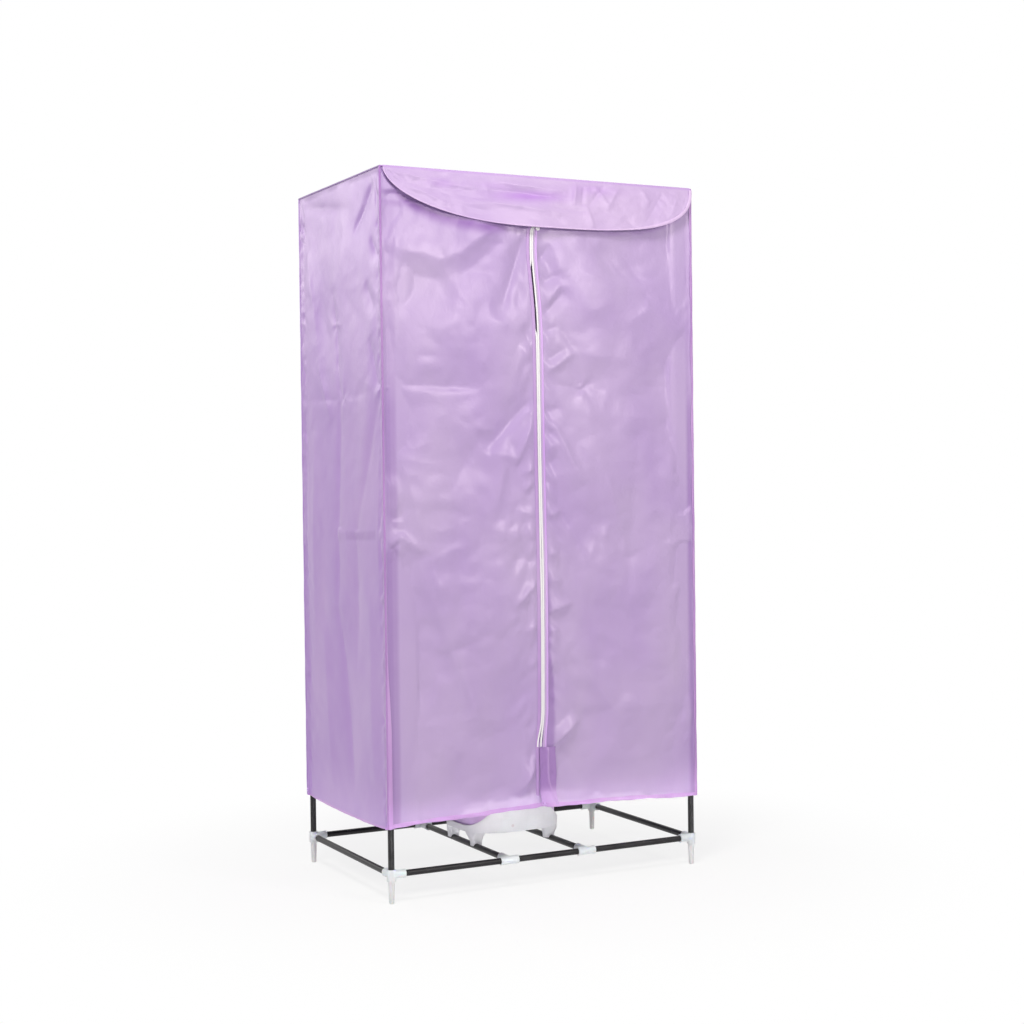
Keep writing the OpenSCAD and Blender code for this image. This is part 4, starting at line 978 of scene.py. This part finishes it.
def side_panel(side):
    """A side of the cover, held out by the tubes of the tiers."""
    place = panel_grid(-PANEL_HALF_Y, PANEL_HALF_Y, HEM_Z, PANEL_TOP, 5 * MM, 8 * MM)
    a, z = place[..., 0], place[..., 2]
    from_seam = PANEL_HALF_Y - np.abs(a)
    seed = 50 if side == "left" else 60
    bow = np.sin(math.pi * (a + PANEL_HALF_Y) / (2 * PANEL_HALF_Y)).clip(0)
    packed = packing_folds(a, z, (600, 1050, 1431), (-2.0, 2.0, -1.0)) * bow**0.5
    tuck = tucked(from_seam, 3.0, 16, 50)
    rails = []
    for level, slope in ((MID_Z, 0.022), (TOP_Z, 0.09)):
        away = np.sqrt((((z - level) ** 2) - (9 * MM) ** 2).clip(0) + (25 * MM) ** 2)
        rails.append(0.6 * MM - slope * away + slope * 25 * MM)
    aim = -5 * MM * bow + packed + tuck + 1.6 * MM * soft_noise(a.shape, (9, 4), 305 + seed) * bow
    aim = np.maximum(aim, np.max(rails, axis=0) - 20 * MM * (1 - smooth(from_seam / (30 * MM))))
    folds = relief(a, z, side) + crushed(a.shape, (0.7, (12, 5), 421 + seed), (0.4, (40, 14), 431 + seed))
    nicks = crushed(a.shape, (1.3, (80, 12), 461 + seed)) * smooth((30 * MM - from_seam) / (12 * MM))
    pressed = folds * smooth(from_seam / (12 * MM)) + nicks * smooth(from_seam / (5 * MM))
    pressed = pressed * smooth((PANEL_TOP - z) / (15 * MM))
    patchy = 1 + 0.8 * soft_noise(a.shape, (24, 4), seed)
    ease_up = seam_ease(from_seam, 0.024, 0.016) * patchy + 0.0008
    ease_across = seam_ease(PANEL_TOP - z, 0.014, 0.02) + 0.001
    ease_across = ease_across + 0.001 * soft_noise(a.shape, (9, 4), seed + 1)
    hold = 0.06 - 0.03 * bell(from_seam, 0, 0.02)
    ease = np.maximum(ease_across, 0), np.maximum(ease_up, 0)
    shape = sew(place, PANEL_HALF_Y, aim, pressed, *ease, hold, seed + 2)
    near_front = a > 0 if side == "left" else a < 0
    # painted shade: the tubes seen through the cloth, most near the front; a band under the roof seam with a
    # wavy lower edge; a shaded fold near the top
    seen = np.where(near_front, 0.3, 0.05) * painted_tube_shade(a, z, PANEL_HALF_Y, shape[..., 1], 4 * MM)
    turned = (PANEL_TOP - z) / (1.1 + 0.7 * soft_noise((1, a.shape[1]), (1, 13), seed + 5))
    seen = seen + 0.9 * smooth((9 * MM - turned) / (4 * MM))
    seen = seen + 0.55 * swell(a, z, (-70, 1464), 1000, (110, 11), -8) * (a < 0.2)
    return stand(side, shape, seen)


def back_panel():
    """The back of the cover, billowing a little between its posts."""
    place = panel_grid(-PANEL_HALF_X, PANEL_HALF_X, HEM_Z, PANEL_TOP, 6 * MM, 10 * MM, 8.5 * MM)
    a, z = place[..., 0], place[..., 2]
    drop = np.clip((PANEL_TOP - z) / (PANEL_TOP - HEM_Z), 0, 1)
    from_seam = PANEL_HALF_X - np.abs(a)
    bow = np.sin(math.pi * (a + PANEL_HALF_X) / (2 * PANEL_HALF_X)).clip(0)
    billow = 4 * MM * bow * np.sin(math.pi * 0.9 * drop)
    packed = packing_folds(a, z, (638, 1060, 1431), (-3.0, 2.0, -1.0)) * bow**0.5
    tuck = tucked(from_seam, 3.0, 16, 60)
    aim = billow + packed + tuck + 4 * MM * soft_noise(a.shape, (9, 7), 377) * bow
    folds = relief(a, z, "back") + crushed(a.shape, (2.4, (16, 9), 441), (0.8, (36, 20), 451))
    pressed = folds * smooth(from_seam / (12 * MM)) * smooth((PANEL_TOP - z) / (15 * MM))
    patchy = 1 + 0.8 * soft_noise(a.shape, (24, 8), 71)
    ease_up = seam_ease(from_seam, 0.030, 0.028) * patchy + 0.0015
    ease_across = seam_ease(PANEL_TOP - z, 0.03, 0.03) + 0.0015 + 0.002 * soft_noise(a.shape, (9, 8), 72)
    hold = 0.05 - 0.035 * bell(from_seam, 0, 0.03)
    ease = np.maximum(ease_across, 0), np.maximum(ease_up, 0)
    shape = sew(place, PANEL_HALF_X, aim, pressed, *ease, hold, 73)
    # painted shade where the tubes are seen through the cloth
    seen = 0.6 * painted_tube_shade(a, z, PANEL_HALF_X, shape[..., 1], 4 * MM)
    return stand("back", shape, seen)


def roof_panel():
    """The roof: laid over the top tier and sagging a little between its tubes."""
    rows, cols = 62, 96
    x = np.linspace(-PANEL_HALF_X, PANEL_HALF_X, cols)[None].repeat(rows, 0)
    y = np.linspace(-PANEL_HALF_Y, PANEL_HALF_Y, rows)[:, None].repeat(cols, 1)
    dx, dy = PANEL_HALF_X - np.abs(x), PANEL_HALF_Y - np.abs(y)
    along, over = math.pi * (x / PANEL_HALF_X + 1) / 2, math.pi * (y / PANEL_HALF_Y + 1) / 2
    dip = 2.4 * MM * np.sin(along) * np.sin(over)
    ripple = 1.2 * MM * soft_noise(x.shape, (14, 20), 81) * smooth(np.minimum(dx, dy) / 0.04)
    pucker = 0.9 * MM * (np.exp(-dy / 0.02) * np.sin(x * 260 + 3 * np.sin(x * 31))
                         + np.exp(-dx / 0.02) * np.sin(y * 250 + 3 * np.sin(y * 37)))
    pucker = pucker * smooth(np.minimum(dx, dy) / (5 * MM))
    fold = crease(x, y, -370, 10, 370, -5, 1.2, 16, 16) + crease(x, y, -5, -236, 5, 236, 1.2, 16, 16)
    z = SEAM_Z - dip + ripple + pucker + fold * smooth(np.minimum(dx, dy) / 0.03)
    return finer(np.stack([x, y, np.minimum(z, SEAM_Z + 1.2 * MM)], -1), 2)


def hem_binding(name, edge, out, half_w):
    """The bound hem: a folded strip over a panel's lower edge, a little uneven."""
    edge = edge + np.array([0, 0, half_w * 0.7])
    along = run_length(edge)
    width = half_w * (1 + 0.10 * np.sin(along * 61) + 0.08 * np.sin(along * 173 + 1))
    return sweep(name, edge, (0, 0, 1), out, loop_profile(width, 0.8 * MM, 3, 12))


def draw_aside(piece):
    """Gives a piece of a front panel its own copy of its mesh."""
    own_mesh(piece)


def make_panel(name, grid, node, finish, hem, drawn=0):
    """One panel of the cover and its bound hem, which has a direction out, a half width and a finish."""
    shape, seen = grid
    cloth = closed_sheet(f"{name}_cloth", shape, CLOTH_T, seen)
    dress(cloth, finish, "frame", "lilac_cloth", node)
    out, half_w, hem_finish = hem
    bound = hem_binding(f"{name}_hem", shape[0], out, half_w * MM)
    dress(bound, hem_finish, "frame", "piping")
    if drawn:
        draw_aside(cloth)
        draw_aside(bound)


def make_cover():
    """All the panels; a flat size is the panel's own and its ease."""
    for side, word in ((-1, "left"), (1, "right")):
        make_panel(f"front_{word}", front_panel(side), f"cover_front_{word}_panel", "cover_cloth",
                   ((0, -1, 0), 4.4, "hem_cloth"),
                   side)
        # the sides take the darker copy of the cloth, painted shade
        make_panel(f"{word}_side", side_panel(word), f"cover_{word}_panel", "side_shaded_cloth",
                   ((side, 0, 0), 2.2, "binding_cloth"))
    make_panel("back", back_panel(), "cover_back_panel", "cover_cloth",
               ((0, 1, 0), 2.6, "binding_cloth"))
    cloth = closed_sheet("roof_cloth", roof_panel(), CLOTH_T)
    dress(cloth, "cover_cloth", "frame", "lilac_cloth", "cover_roof")


# ==== flap ====
FLAP_Y = -241 * MM
FLAP_TOP = 1504.5 * MM
FLAP_HALF = 366 * MM
FLAP_DROP = 107 * MM


def flap_edge(x):
    """Drop of the flap's lower edge: full in the middle, closing towards both ends."""
    s = np.clip(np.abs(x) / FLAP_HALF, 0, 1)
    n = np.where(x < 0, 2.3, 3.2)
    return np.maximum(6 * MM, FLAP_DROP * np.maximum(0, 1 - s**n) ** (1 / (n - 0.4)))


FLAP_FOLDS = [
    (-346, 1499, -285, 1483, 2.2, 3, 7), (-320, 1470, -225, 1434, 2.4, 4, 9),
    (-345, 1492, -120, 1462, 1.6, 12, 10), (-300, 1462, -20, 1470, -1.4, 10, 9),
    (-130, 1470, 75, 1460, -2.6, 10, 16), (-170, 1446, 40, 1430, 2.6, 5, 10),
    (-120, 1444, 30, 1438, 1.6, 3, 5), (-120, 1486, 60, 1478, 2.2, 6, 8), (78, 1498, 72, 1448, 3.2, 4, 5),
    (98, 1490, 92, 1446, -2.4, 4, 5), (122, 1494, 158, 1452, 2.4, 4, 7), (150, 1496, 104, 1442, -2, 5, 6),
    (186, 1496, 150, 1438, 2.2, 7, 9), (100, 1450, 118, 1402, 3, 6, 7), (20, 1440, 120, 1436, -1.8, 5, 5),
    (236, 1498, 262, 1464, 2, 5, 6), (340, 1496, 312, 1440, 1.8, 9, 12),
    (300, 1494, 238, 1402, -2.2, 14, 14), (190, 1430, 236, 1400, -1.6, 12, 12),
]


def flap_surface():
    """The flap: hangs from the front seam, standing off further the lower it reaches, with soft pleats."""
    across, down = 300, 52
    x = -FLAP_HALF * np.cos(math.pi * (np.linspace(0, 1, across) * 0.9 + 0.05)) / math.cos(math.pi * 0.05)
    x = x[None].repeat(down, 0)
    share = np.linspace(1, 0, down)[:, None]
    drop = 0.5 * MM + (flap_edge(x) - 0.5 * MM) * share
    z = FLAP_TOP - drop
    off = 6 * MM * (drop / FLAP_DROP) ** 1.1 + 3 * MM * share * smooth(x / 0.3)
    off = off + 1.0 * MM * share * np.sin(x * 19 + 0.6) * np.minimum(1, drop / 0.04)
    off = off + 4.5 * MM * (drop / FLAP_DROP) * bell(x, -0.022, 0.08)
    for fold in FLAP_FOLDS:
        off = off + crease(x, z, *fold) * smooth(drop / 0.02)
    off = off + 0.8 * MM * crumple(x.shape, (6, 34), 91) * smooth(drop / 0.02)
    return np.stack([x, FLAP_Y - np.maximum(off, -0.2 * MM), z], -1)


# painted shade on the flap: at, size, how dark, and the rise of the patch to the right
FLAP_PAINTED_SHADES = (((-0.03, 1.463), (0.085, 0.011), 0.75, 0.05), ((-0.235, 1.474), (0.03, 0.008), 0.35, 0),
               ((0.12, 1.485), (0.06, 0.012), 0.35, 0), ((-0.11, 1.478), (0.05, 0.008), 0.3, 0))


def make_flap():
    """The flap with its bound edge, which is wider at the right."""
    surface = flap_surface()
    x, z = surface[..., 0], surface[..., 2]
    # painted shade: a strip along the flap's top edge and the listed patches
    seen = 0.4 * smooth((z - 1.4975) / 0.004)
    for (ax, az), (wide, high), dark, rise in FLAP_PAINTED_SHADES:
        seen = seen + dark * np.exp(-(((x - ax) / wide) ** 2) - ((z - az - rise * x) / high) ** 2)
    cloth = closed_sheet("front_flap_cloth", surface, CLOTH_T, seen)
    # the flap takes the lighter copy of the cloth, painted light
    dress(cloth, "flap_lit_cloth", "flap", "lilac_cloth", "front_flap")
    edge = surface[0]
    side = unit(np.cross(unit(np.gradient(edge, axis=0)), FORWARD))
    width = (1.5 + 2.1 * smooth((edge[:, 0] - 0.18) / 0.12)) * MM
    bound = sweep("flap_binding", edge, side, FORWARD, loop_profile(width, 0.9 * MM))
    dress(bound, "flap_binding", "flap", "piping")
    x = np.linspace(-FLAP_HALF, FLAP_HALF, 400)


# ==== seams and bindings ====
def wavy(path, amount, pitch, seed, direction):
    """A path that wanders a little in one direction, as a hand-fed seam does."""
    along = run_length(path)
    phase = np.random.default_rng(seed).uniform(0, 6.28, 3)
    wave = sum(np.sin(along / pitch / k * 6.28 + p) / (3 - k * 0.3) for k, p in zip((1, 1.7, 2.9), phase))
    return path + np.asarray(direction) * (amount * wave)[:, None]


def straight(a, b, step=4 * MM):
    """Evenly spaced points from a to b."""
    count = int(np.linalg.norm(np.subtract(b, a)) / step) + 2
    return np.linspace(a, b, count)


def seam(at, to, pitch, seed, lean, side, out):
    """The round piping of one seam."""
    path = wavy(straight(at, to), 0.25 * MM, pitch * MM, seed, lean)
    return sweep("seam", path, side, out, loop_profile(DRAWN_IN, DRAWN_IN, 2, 12))


def make_piping():
    """Bound piping in the four upright seams and round the roof, and bands of painted shade beside the front
    ones.
    """
    parts, back_parts, side_parts = [], [], []
    x, y = SEAM_X, SEAM_Y
    for sx in (-1, 1):
        for sy, kept in ((-1, parts), (1, back_parts)):
            kept.append(seam((sx * x, sy * y, HEM_Z), (sx * x, sy * y, SEAM_Z), 60, 5 + sx + 3 * sy,
                             (sx, sy, 0), (1, 0, 0), (0, 1, 0)))
    for s in (-1, 1):
        parts.append(seam((-x, s * y, SEAM_Z), (x, s * y, SEAM_Z), 50, 15 + s,
                          (0, s, 0), (0, 1, 0), (0, 0, 1)))
        side_parts.append(seam((s * x, y, SEAM_Z), (s * x, -y, SEAM_Z), 50, 25 + s,
                               (s, 0, 0), (1, 0, 0), (0, 0, 1)))
    dress(join("seam_piping", parts), "piping_cloth", "frame", "piping", "edge_piping")
    dress(join("back_seam_piping", back_parts), "side_shaded_cloth", "frame", "piping")
    # the side roof seams take the darker piping copy, painted shade
    dress(join("side_seam_piping", side_parts), "seam_shade_cloth", "frame", "piping")
    # violet bands beside the front corner seams: painted shade lines, the left one widening towards the hem
    z = np.linspace(HEM_Z, SEAM_Z - 6 * MM, 340)
    bands = []
    for side, half in ((-1, 0.5 + 4.0 * smooth((0.56 - z) / 0.24)), (1, 1.2 + 0.5 * np.sin(z * 40))):
        half = half * MM
        path = np.stack([side * (SEAM_X - 1.4 * MM - half), np.full_like(z, -SEAM_Y - 1.2 * MM), z], -1)
        bands.append(sweep("band", path, (1, 0, 0), FORWARD, loop_profile(half, 0.7 * MM, 2.6, 12)))
    dress(join("corner_shade_bands", bands), "hem_cloth", "frame", "piping")


# ==== zip ====
def zip_path(side, near, far, low, high, out, step=4 * MM, row=False):
    """The line that runs beside the zip's middle, halfway between near and far from it."""
    z = np.linspace(low, high, int((high - low) / step) + 2)
    aside = np.full_like(z, (near + far) / 2)
    deep = np.full_like(z, -ZIP_Y - out)
    if row:
        aside = aside + zip_split(z, side)
    if side < 0:
        aside = aside + (4.4 if row else -1.0) * MM * burst(z)
        deep = deep + (2.2 if row else 0) * MM * burst(z)
    return np.stack([zip_line(z) + side * aside, deep, z], -1)


def zip_teeth(side, word, body):
    """The row of nylon teeth, behind the band of tape that covers it: eight-sided pins."""
    centre = zip_path(side, BAND_NEAR, TEETH_FAR, ZIP_LOW, ZIP_HIGH, TEETH_BACK, TEETH_PITCH, row=True)
    pin = np.concatenate([circle(1, around(8), h) * (1.5, 0.8, 1) for h in (-0.6, 0.6)]) * MM
    lids = [[0, 3, 2, 1], [0, 5, 4, 3], [0, 7, 6, 5], [8, 9, 10, 11], [8, 11, 12, 13], [8, 13, 14, 15]]
    faces = np.concatenate([grid_faces(2, 8, wrap_cols=True), lids])
    teeth = repeated(f"zip_teeth_{word}", pin, faces, centre)
    dress(teeth, "zip_coil_nylon", body, "zip_tape", f"zip_{word}")


def zip_strip(name, side, span, z_span, out, half_t, power, finish, slot, row=False):
    """A flat strip beside the zip's middle, from the near to the far distance of its span."""
    (near, far), (low, high) = span, z_span
    strip = sweep(name, zip_path(side, near, far, low, high, out, row=row), (1, 0, 0), FORWARD,
                  loop_profile((far - near) / 2, half_t, power))
    dress(strip, finish, "zip_edge_left" if side < 0 else "zip_edge_right", slot)


def make_zip():
    """Both rows with their bands and facings, the ridge on the right and the tail at the lower end."""
    rows_z = (ZIP_LOW, ZIP_HIGH)
    for side, word in ((-1, "left"), (1, "right")):
        zip_teeth(side, word, f"zip_edge_{word}")
        zip_strip(f"zip_band_{word}", side, (BAND_NEAR, BAND_FAR), rows_z, 0.9 * MM, 0.42 * MM, 4,
                  "zip_band", "zip_tape", row=True)
        low = ZIP_LOW - 2 * MM if side > 0 else float(front_hem(np.array(ZIP_X))) + 12 * MM
        far, finish = (12.2 * MM, "fly_cloth") if side < 0 else (8.8 * MM, "facing_cloth")
        zip_strip(f"zip_facing_{word}", side, (4.6 * MM, far), (low, ZIP_HIGH), 0.8 * MM, 0.45 * MM, 4,
                  finish, "lilac_cloth")
    # the ridge takes a lighter cloth, a painted highlight
    zip_strip("zip_ridge_right", 1, (8.6 * MM, 13.2 * MM), (ZIP_LOW - 2 * MM, ZIP_HIGH), 0.9 * MM, 1.2 * MM,
              2.2, "ridge_highlight_cloth", "piping")
    tail_y = -ZIP_Y + 3.8 * MM
    back = straight((-20 * MM, tail_y, ZIP_LOW - 4 * MM), (-19 * MM, tail_y, 400 * MM))
    tail = sweep("zip_tail", back, (1, 0, 0), FORWARD, loop_profile(12 * MM, 0.25 * MM, 6, 12))
    dress(tail, "fly_cloth", "zip_edge_right", "zip_tape")
    make_placket()


PLACKET_LEFT, PLACKET_RIGHT = -24 * MM, 15 * MM


def make_placket():
    """The strip of two layers that closes the front below the zip, with a fold down its middle."""
    low, high = float(front_hem(np.array(ZIP_X))) + 0.5 * MM, ZIP_LOW - 1.5 * MM
    rows, cols = 60, 30
    z = np.linspace(low, high, rows)[:, None].repeat(cols, 1)
    x = np.linspace(PLACKET_LEFT, PLACKET_RIGHT, cols)[None].repeat(rows, 0) + 0.8 * MM * np.sin(z * 60)
    fold = -4 * MM + 15 * MM * smooth((0.235 - z) / 0.065)
    ridge = 3.2 * MM * np.exp(-np.abs(x - fold) / (2.6 * MM)) * smooth((high - z) / (8 * MM))
    edge = 1.2 * MM * np.exp(-(x - PLACKET_LEFT) / (2.5 * MM))
    kick = 11 * MM * np.clip(1 - (z - low) / (27 * MM), 0, 1)
    out = 2.0 * MM + ridge + edge + crushed(z.shape, (0.9, (8, 4), 101)) + kick
    # painted shade over the placket's upper part, all but the ridge of its fold
    placket_shade = 0.6 * smooth((z - 0.195) / 0.02) * (1 - 0.9 * bell(x, fold, 2 * MM))
    cloth = closed_sheet("zip_placket", np.stack([x, -ZIP_Y - out, z], -1), CLOTH_T, placket_shade)
    dress(cloth, "fly_cloth", "zip_edge_right", "lilac_cloth")


# ==== heater ====
BASE_A, BASE_FRONT, BASE_BACK = 118 * MM, 112 * MM, 98 * MM
BASE_LOW, BASE_RIM, FASCIA_TOP = 92 * MM, 107 * MM, 196 * MM
BASE_LEAN = 0.985
SHELL = 2.5 * MM
BAR_X, FOOT_Y, FOOT_END = 93 * MM, 60 * MM, 61 * MM
HOUSING_LOW, HOUSING_TOP = 97 * MM, 206 * MM
CROWN_R, OUTLET_R, INTAKE_R = 74 * MM, 62 * MM, 56 * MM
FASCIA_HALF = math.radians(68)
HEATER_SIDES = 240


def ring_wall(name, rings, sharp=60):
    """Rings of points joined one to the next, and the last to the first."""
    rings = np.array(rings)
    return make_mesh(name, rings, grid_faces(*rings.shape[:2], wrap_cols=True, wrap_rows=True), None, sharp)


def heater_plan(t, scale=1.0):
    """Radius of the heater's plan at angle t: a rounded square that bows out at the front."""
    b = np.where(np.sin(t) < 0, BASE_FRONT, BASE_BACK)
    return scale / ((np.abs(np.cos(t)) / BASE_A) ** 3 + (np.abs(np.sin(t)) / b) ** 3) ** (1 / 3)


def rim_height(t):
    """Height of the base's rim: level at the sides and back, arched up to the fascia at the front."""
    away = np.abs((t + math.pi / 2 + math.pi) % (2 * math.pi) - math.pi)
    share = np.minimum(1, away / FASCIA_HALF)
    return BASE_RIM + (FASCIA_TOP - BASE_RIM) * (0.5 + 0.5 * np.cos(math.pi * share)) ** 1.35


def base_wall():
    """The base's wall: a rounded section carried round the plan, up to the rim's height."""
    t = around(HEATER_SIDES)
    top = rim_height(t)
    rise = np.concatenate([[0, 0.02, 0.06], np.linspace(0.12, 0.9, 10), [0.96, 0.99, 1.0]])
    outside, inside = [], []
    for share in rise:
        z = BASE_LOW + (top - BASE_LOW) * share
        lean = BASE_LEAN + (1 - BASE_LEAN) * np.clip((z - BASE_LOW) / 0.030, 0, 1)
        at_foot, at_rim = np.maximum(0, 1 - share / 0.05), np.maximum(0, (share - 0.97) / 0.03)
        round_off = 1.1 * MM * (at_foot**2 + at_rim**2)
        r = heater_plan(t, lean)
        outside.append(circle(r - round_off, t, z))
        inside.append(circle(r - SHELL + round_off * 0.5, t, z))
    return ring_wall("wall", outside + inside[::-1])


def base_floor():
    """The base's floor round the air intake."""
    t = around(HEATER_SIDES)
    outer, inner = heater_plan(t, BASE_LEAN) - 1.5 * MM, INTAKE_R
    low, high = BASE_LOW + 2 * MM, BASE_LOW + 5 * MM
    edges = ((outer, high), (inner, high), (inner, low), (outer, low))
    return ring_wall("floor", [circle(r, t, z) for r, z in edges])


def on_bar(x, sx):
    """Lowest height that clears the bar under a foot."""
    over = np.sqrt(np.maximum((TUBE_R + 0.1 * MM) ** 2 - (x - sx * BAR_X) ** 2, 0))
    return np.maximum(FOOT_END, RING_Z + over)


def base_foot(sx, sy):
    """One foot: rounded sections that taper down to a saddle over its bar."""
    a = around(48)
    share = np.linspace(0, 1, 14)[:, None]
    blend = smooth(share * 1.15) ** 0.8
    half_x, half_y = (21 - 9 * blend) * MM, (19 - 9.5 * blend) * MM
    cx, cy = (BAR_X - 1 * MM - 2 * MM * blend) * sx, (FOOT_Y - 1 * MM * blend) * sy
    c, s = np.cos(a), np.sin(a)
    x = cx + half_x * np.sign(c) * np.abs(c) ** 0.55
    y = cy + half_y * np.sign(s) * np.abs(s) ** 0.55
    within = np.minimum(1, (heater_plan(np.arctan2(y, x), BASE_LEAN) - 0.2 * MM) / np.hypot(x, y))
    x, y = x * within, y * within
    top = BASE_LOW + 3 * MM
    rings = [np.stack([x, y, top + (on_bar(x, sx) - top) * share], -1)]
    for k in (0.66, 0.33):
        ex, ey = cx[-1] + (x[-1] - cx[-1]) * k, cy[-1] + (y[-1] - cy[-1]) * k
        rings.append(np.stack([ex, ey, on_bar(ex, sx)], -1)[None])
    return round_bar("foot", np.concatenate(rings)[:, ::-1], None, 60)


def housing_surface(wall):
    """The lilac housing: its plan drawn in to a round crown as it rises."""
    t = around(HEATER_SIDES)
    v = np.sin(np.linspace(0, math.pi / 2, 48))[:, None]
    foot = heater_plan(t, 0.945)[None]
    r = CROWN_R + (foot - CROWN_R) * np.sqrt(np.maximum(0, 1 - v**3)) - wall
    return circle(r, t, HOUSING_LOW + (HOUSING_TOP - HOUSING_LOW - wall) * v)


def make_heater():
    """The heater's two moulded shells."""
    parts = [base_wall(), base_floor(), *[base_foot(sx, sy) for sx in (-1, 1) for sy in (-1, 1)]]
    dress(join("heater_base_shell", parts), None, "frame", "heater_white", "heater_base")
    lips = [circle(OUTLET_R, around(HEATER_SIDES), z) for z in (HOUSING_TOP, HOUSING_TOP - SHELL)]
    dome = ring_wall("heater_dome", [*housing_surface(0), *lips, *housing_surface(SHELL)[::-1]], 50)
    dress(dome, None, "frame", "heater_lilac", "heater_housing")


# ==== studio ====
CAMERA_AT = (-1752.63 * MM, -3562.29 * MM, 874.29 * MM)
CAMERA_YAW, CAMERA_PITCH, CAMERA_ROLL = 27.907, -1.160, -0.672
FOCAL_PX, CENTRE_PX = 1767.67, (549.6, 510.3)
FRAME_PX, SENSOR = 1024, 36


def make_camera():
    """The photograph's own viewpoint, fitted to the cabinet's corners."""
    data = bpy.data.cameras.new("camera")
    data.sensor_width = SENSOR
    data.lens = FOCAL_PX * SENSOR / FRAME_PX
    data.shift_x = 0.5 - CENTRE_PX[0] / FRAME_PX
    data.shift_y = CENTRE_PX[1] / FRAME_PX - 0.5
    data.clip_start, data.clip_end = 0.05, 200
    camera = bpy.data.objects.new("camera", data)
    bpy.context.scene.collection.objects.link(camera)
    turn = Matrix.Rotation(math.radians(-CAMERA_YAW), 4, "Z")
    turn = turn @ Matrix.Rotation(math.radians(90 + CAMERA_PITCH), 4, "X")
    turn = turn @ Matrix.Rotation(math.radians(CAMERA_ROLL), 4, "Z")
    camera.matrix_world = Matrix.Translation(CAMERA_AT) @ turn
    bpy.context.scene.camera = camera


def softbox(name, at, towards, size, power, colour=(1, 1, 1), beam=180):
    """A rectangular area lamp that looks at a point."""
    data = bpy.data.lights.new(name, "AREA")
    data.shape = "RECTANGLE"
    data.size, data.size_y = size
    data.energy = power
    data.color = colour
    data.spread = math.radians(beam)
    lamp = bpy.data.objects.new(name, data)
    bpy.context.scene.collection.objects.link(lamp)
    lamp.location = at
    way = Matrix.Translation(towards).translation - lamp.location
    lamp.rotation_euler = way.to_track_quat("-Z", "Y").to_euler()


def white_to_camera(tree, surface, white):
    """Rays from the camera, and what metal and glass mirror, see a plain white; all else sees the surface."""
    path = add(tree, "ShaderNodeLightPath")
    seen = math_node(tree, "MAXIMUM", path.outputs["Is Camera Ray"], path.outputs["Is Glossy Ray"])
    seen = math_node(tree, "MAXIMUM", seen, path.outputs["Is Transmission Ray"])
    mix = add(tree, "ShaderNodeMixShader")
    tree.links.new(seen, mix.inputs[0])
    tree.links.new(surface, mix.inputs[1])
    tree.links.new(white, mix.inputs[2])
    return mix.outputs[0]


WORLD_LEVEL = 0.33
# distances between which the floor's shadow fades, its share of white at the nearer one, and its glow
FLOOR_CLEAR, FLOOR_NEAR, FLOOR_GLOW = (0.4, 1.15), 0.78, 0.2


def floor_finish():
    """A pale floor that keeps the object's shadow and turns plain white away from it."""
    material, tree, bsdf = shader("floor_white", (0.8, 0.8, 0.8), 0.9, Specular_IOR_Level=0.0,
                                  Emission_Color=(1, 1, 1, 1), Emission_Strength=FLOOR_GLOW)
    place = coordinates(tree)
    far = add(tree, "ShaderNodeVectorMath", operation="LENGTH")
    tree.links.new(place, far.inputs[0])
    spread = add(tree, "ShaderNodeMapRange", interpolation_type="SMOOTHSTEP", From_Min=FLOOR_CLEAR[0],
                 From_Max=FLOOR_CLEAR[1], To_Min=FLOOR_NEAR, To_Max=1.0)
    tree.links.new(far.outputs["Value"], spread.inputs["Value"])
    white = add(tree, "ShaderNodeEmission", Strength=1.0)
    white.inputs["Color"].default_value = (1, 1, 1, 1)
    shaded = add(tree, "ShaderNodeMixShader")
    tree.links.new(spread.outputs["Result"], shaded.inputs[0])
    tree.links.new(bsdf.outputs[0], shaded.inputs[1])
    tree.links.new(white.outputs[0], shaded.inputs[2])
    shown = white_to_camera(tree, bsdf.outputs[0], shaded.outputs[0])
    tree.links.new(shown, tree.nodes["Material Output"].inputs["Surface"])
    return material


def make_studio():
    """World, floor and lamps."""
    world = bpy.data.worlds.new("studio")
    bpy.context.scene.world = world
    world.use_nodes = True
    tree = world.node_tree
    plain = tree.nodes["Background"]
    plain.inputs["Color"].default_value = (1, 1, 1, 1)
    plain.inputs["Strength"].default_value = WORLD_LEVEL
    white = add(tree, "ShaderNodeBackground", Strength=1.0)
    white.inputs["Color"].default_value = (1, 1, 1, 1)
    shown = white_to_camera(tree, plain.outputs[0], white.outputs[0])
    tree.links.new(shown, tree.nodes["World Output"].inputs["Surface"])
    floor = make_mesh("floor", np.array([(-30, -30, 0), (30, -30, 0), (30, 30, 0), (-30, 30, 0)]),
                      np.array([[0, 1, 2, 3]]))
    floor.data.materials.append(floor_finish())
    softbox("key", (-1.5, -1.7, 3.6), (0, 0, 1.2), (0.9, 0.9), 72, (1.0, 0.97, 0.94))
    softbox("gloss_right", (1.0, -3.0, 1.95), (0, 0, 1.1), (0.6, 0.6), 26, (1.0, 0.96, 0.88))
    softbox("gloss_back", (-1.9, 3.0, 2.0), (-0.3, 0, 1.1), (0.6, 0.9), 18, (1.0, 0.96, 0.9))
    softbox("low_front", (-0.35, -1.5, 0.09), (0, -0.11, 0.125), (0.9, 0.06), 0.18, beam=9)
    bpy.context.scene.view_settings.view_transform = "Standard"


make_camera()
make_studio()
finish_cad_nodes()
make_cover()
make_flap()
make_piping()
make_zip()
make_heater()
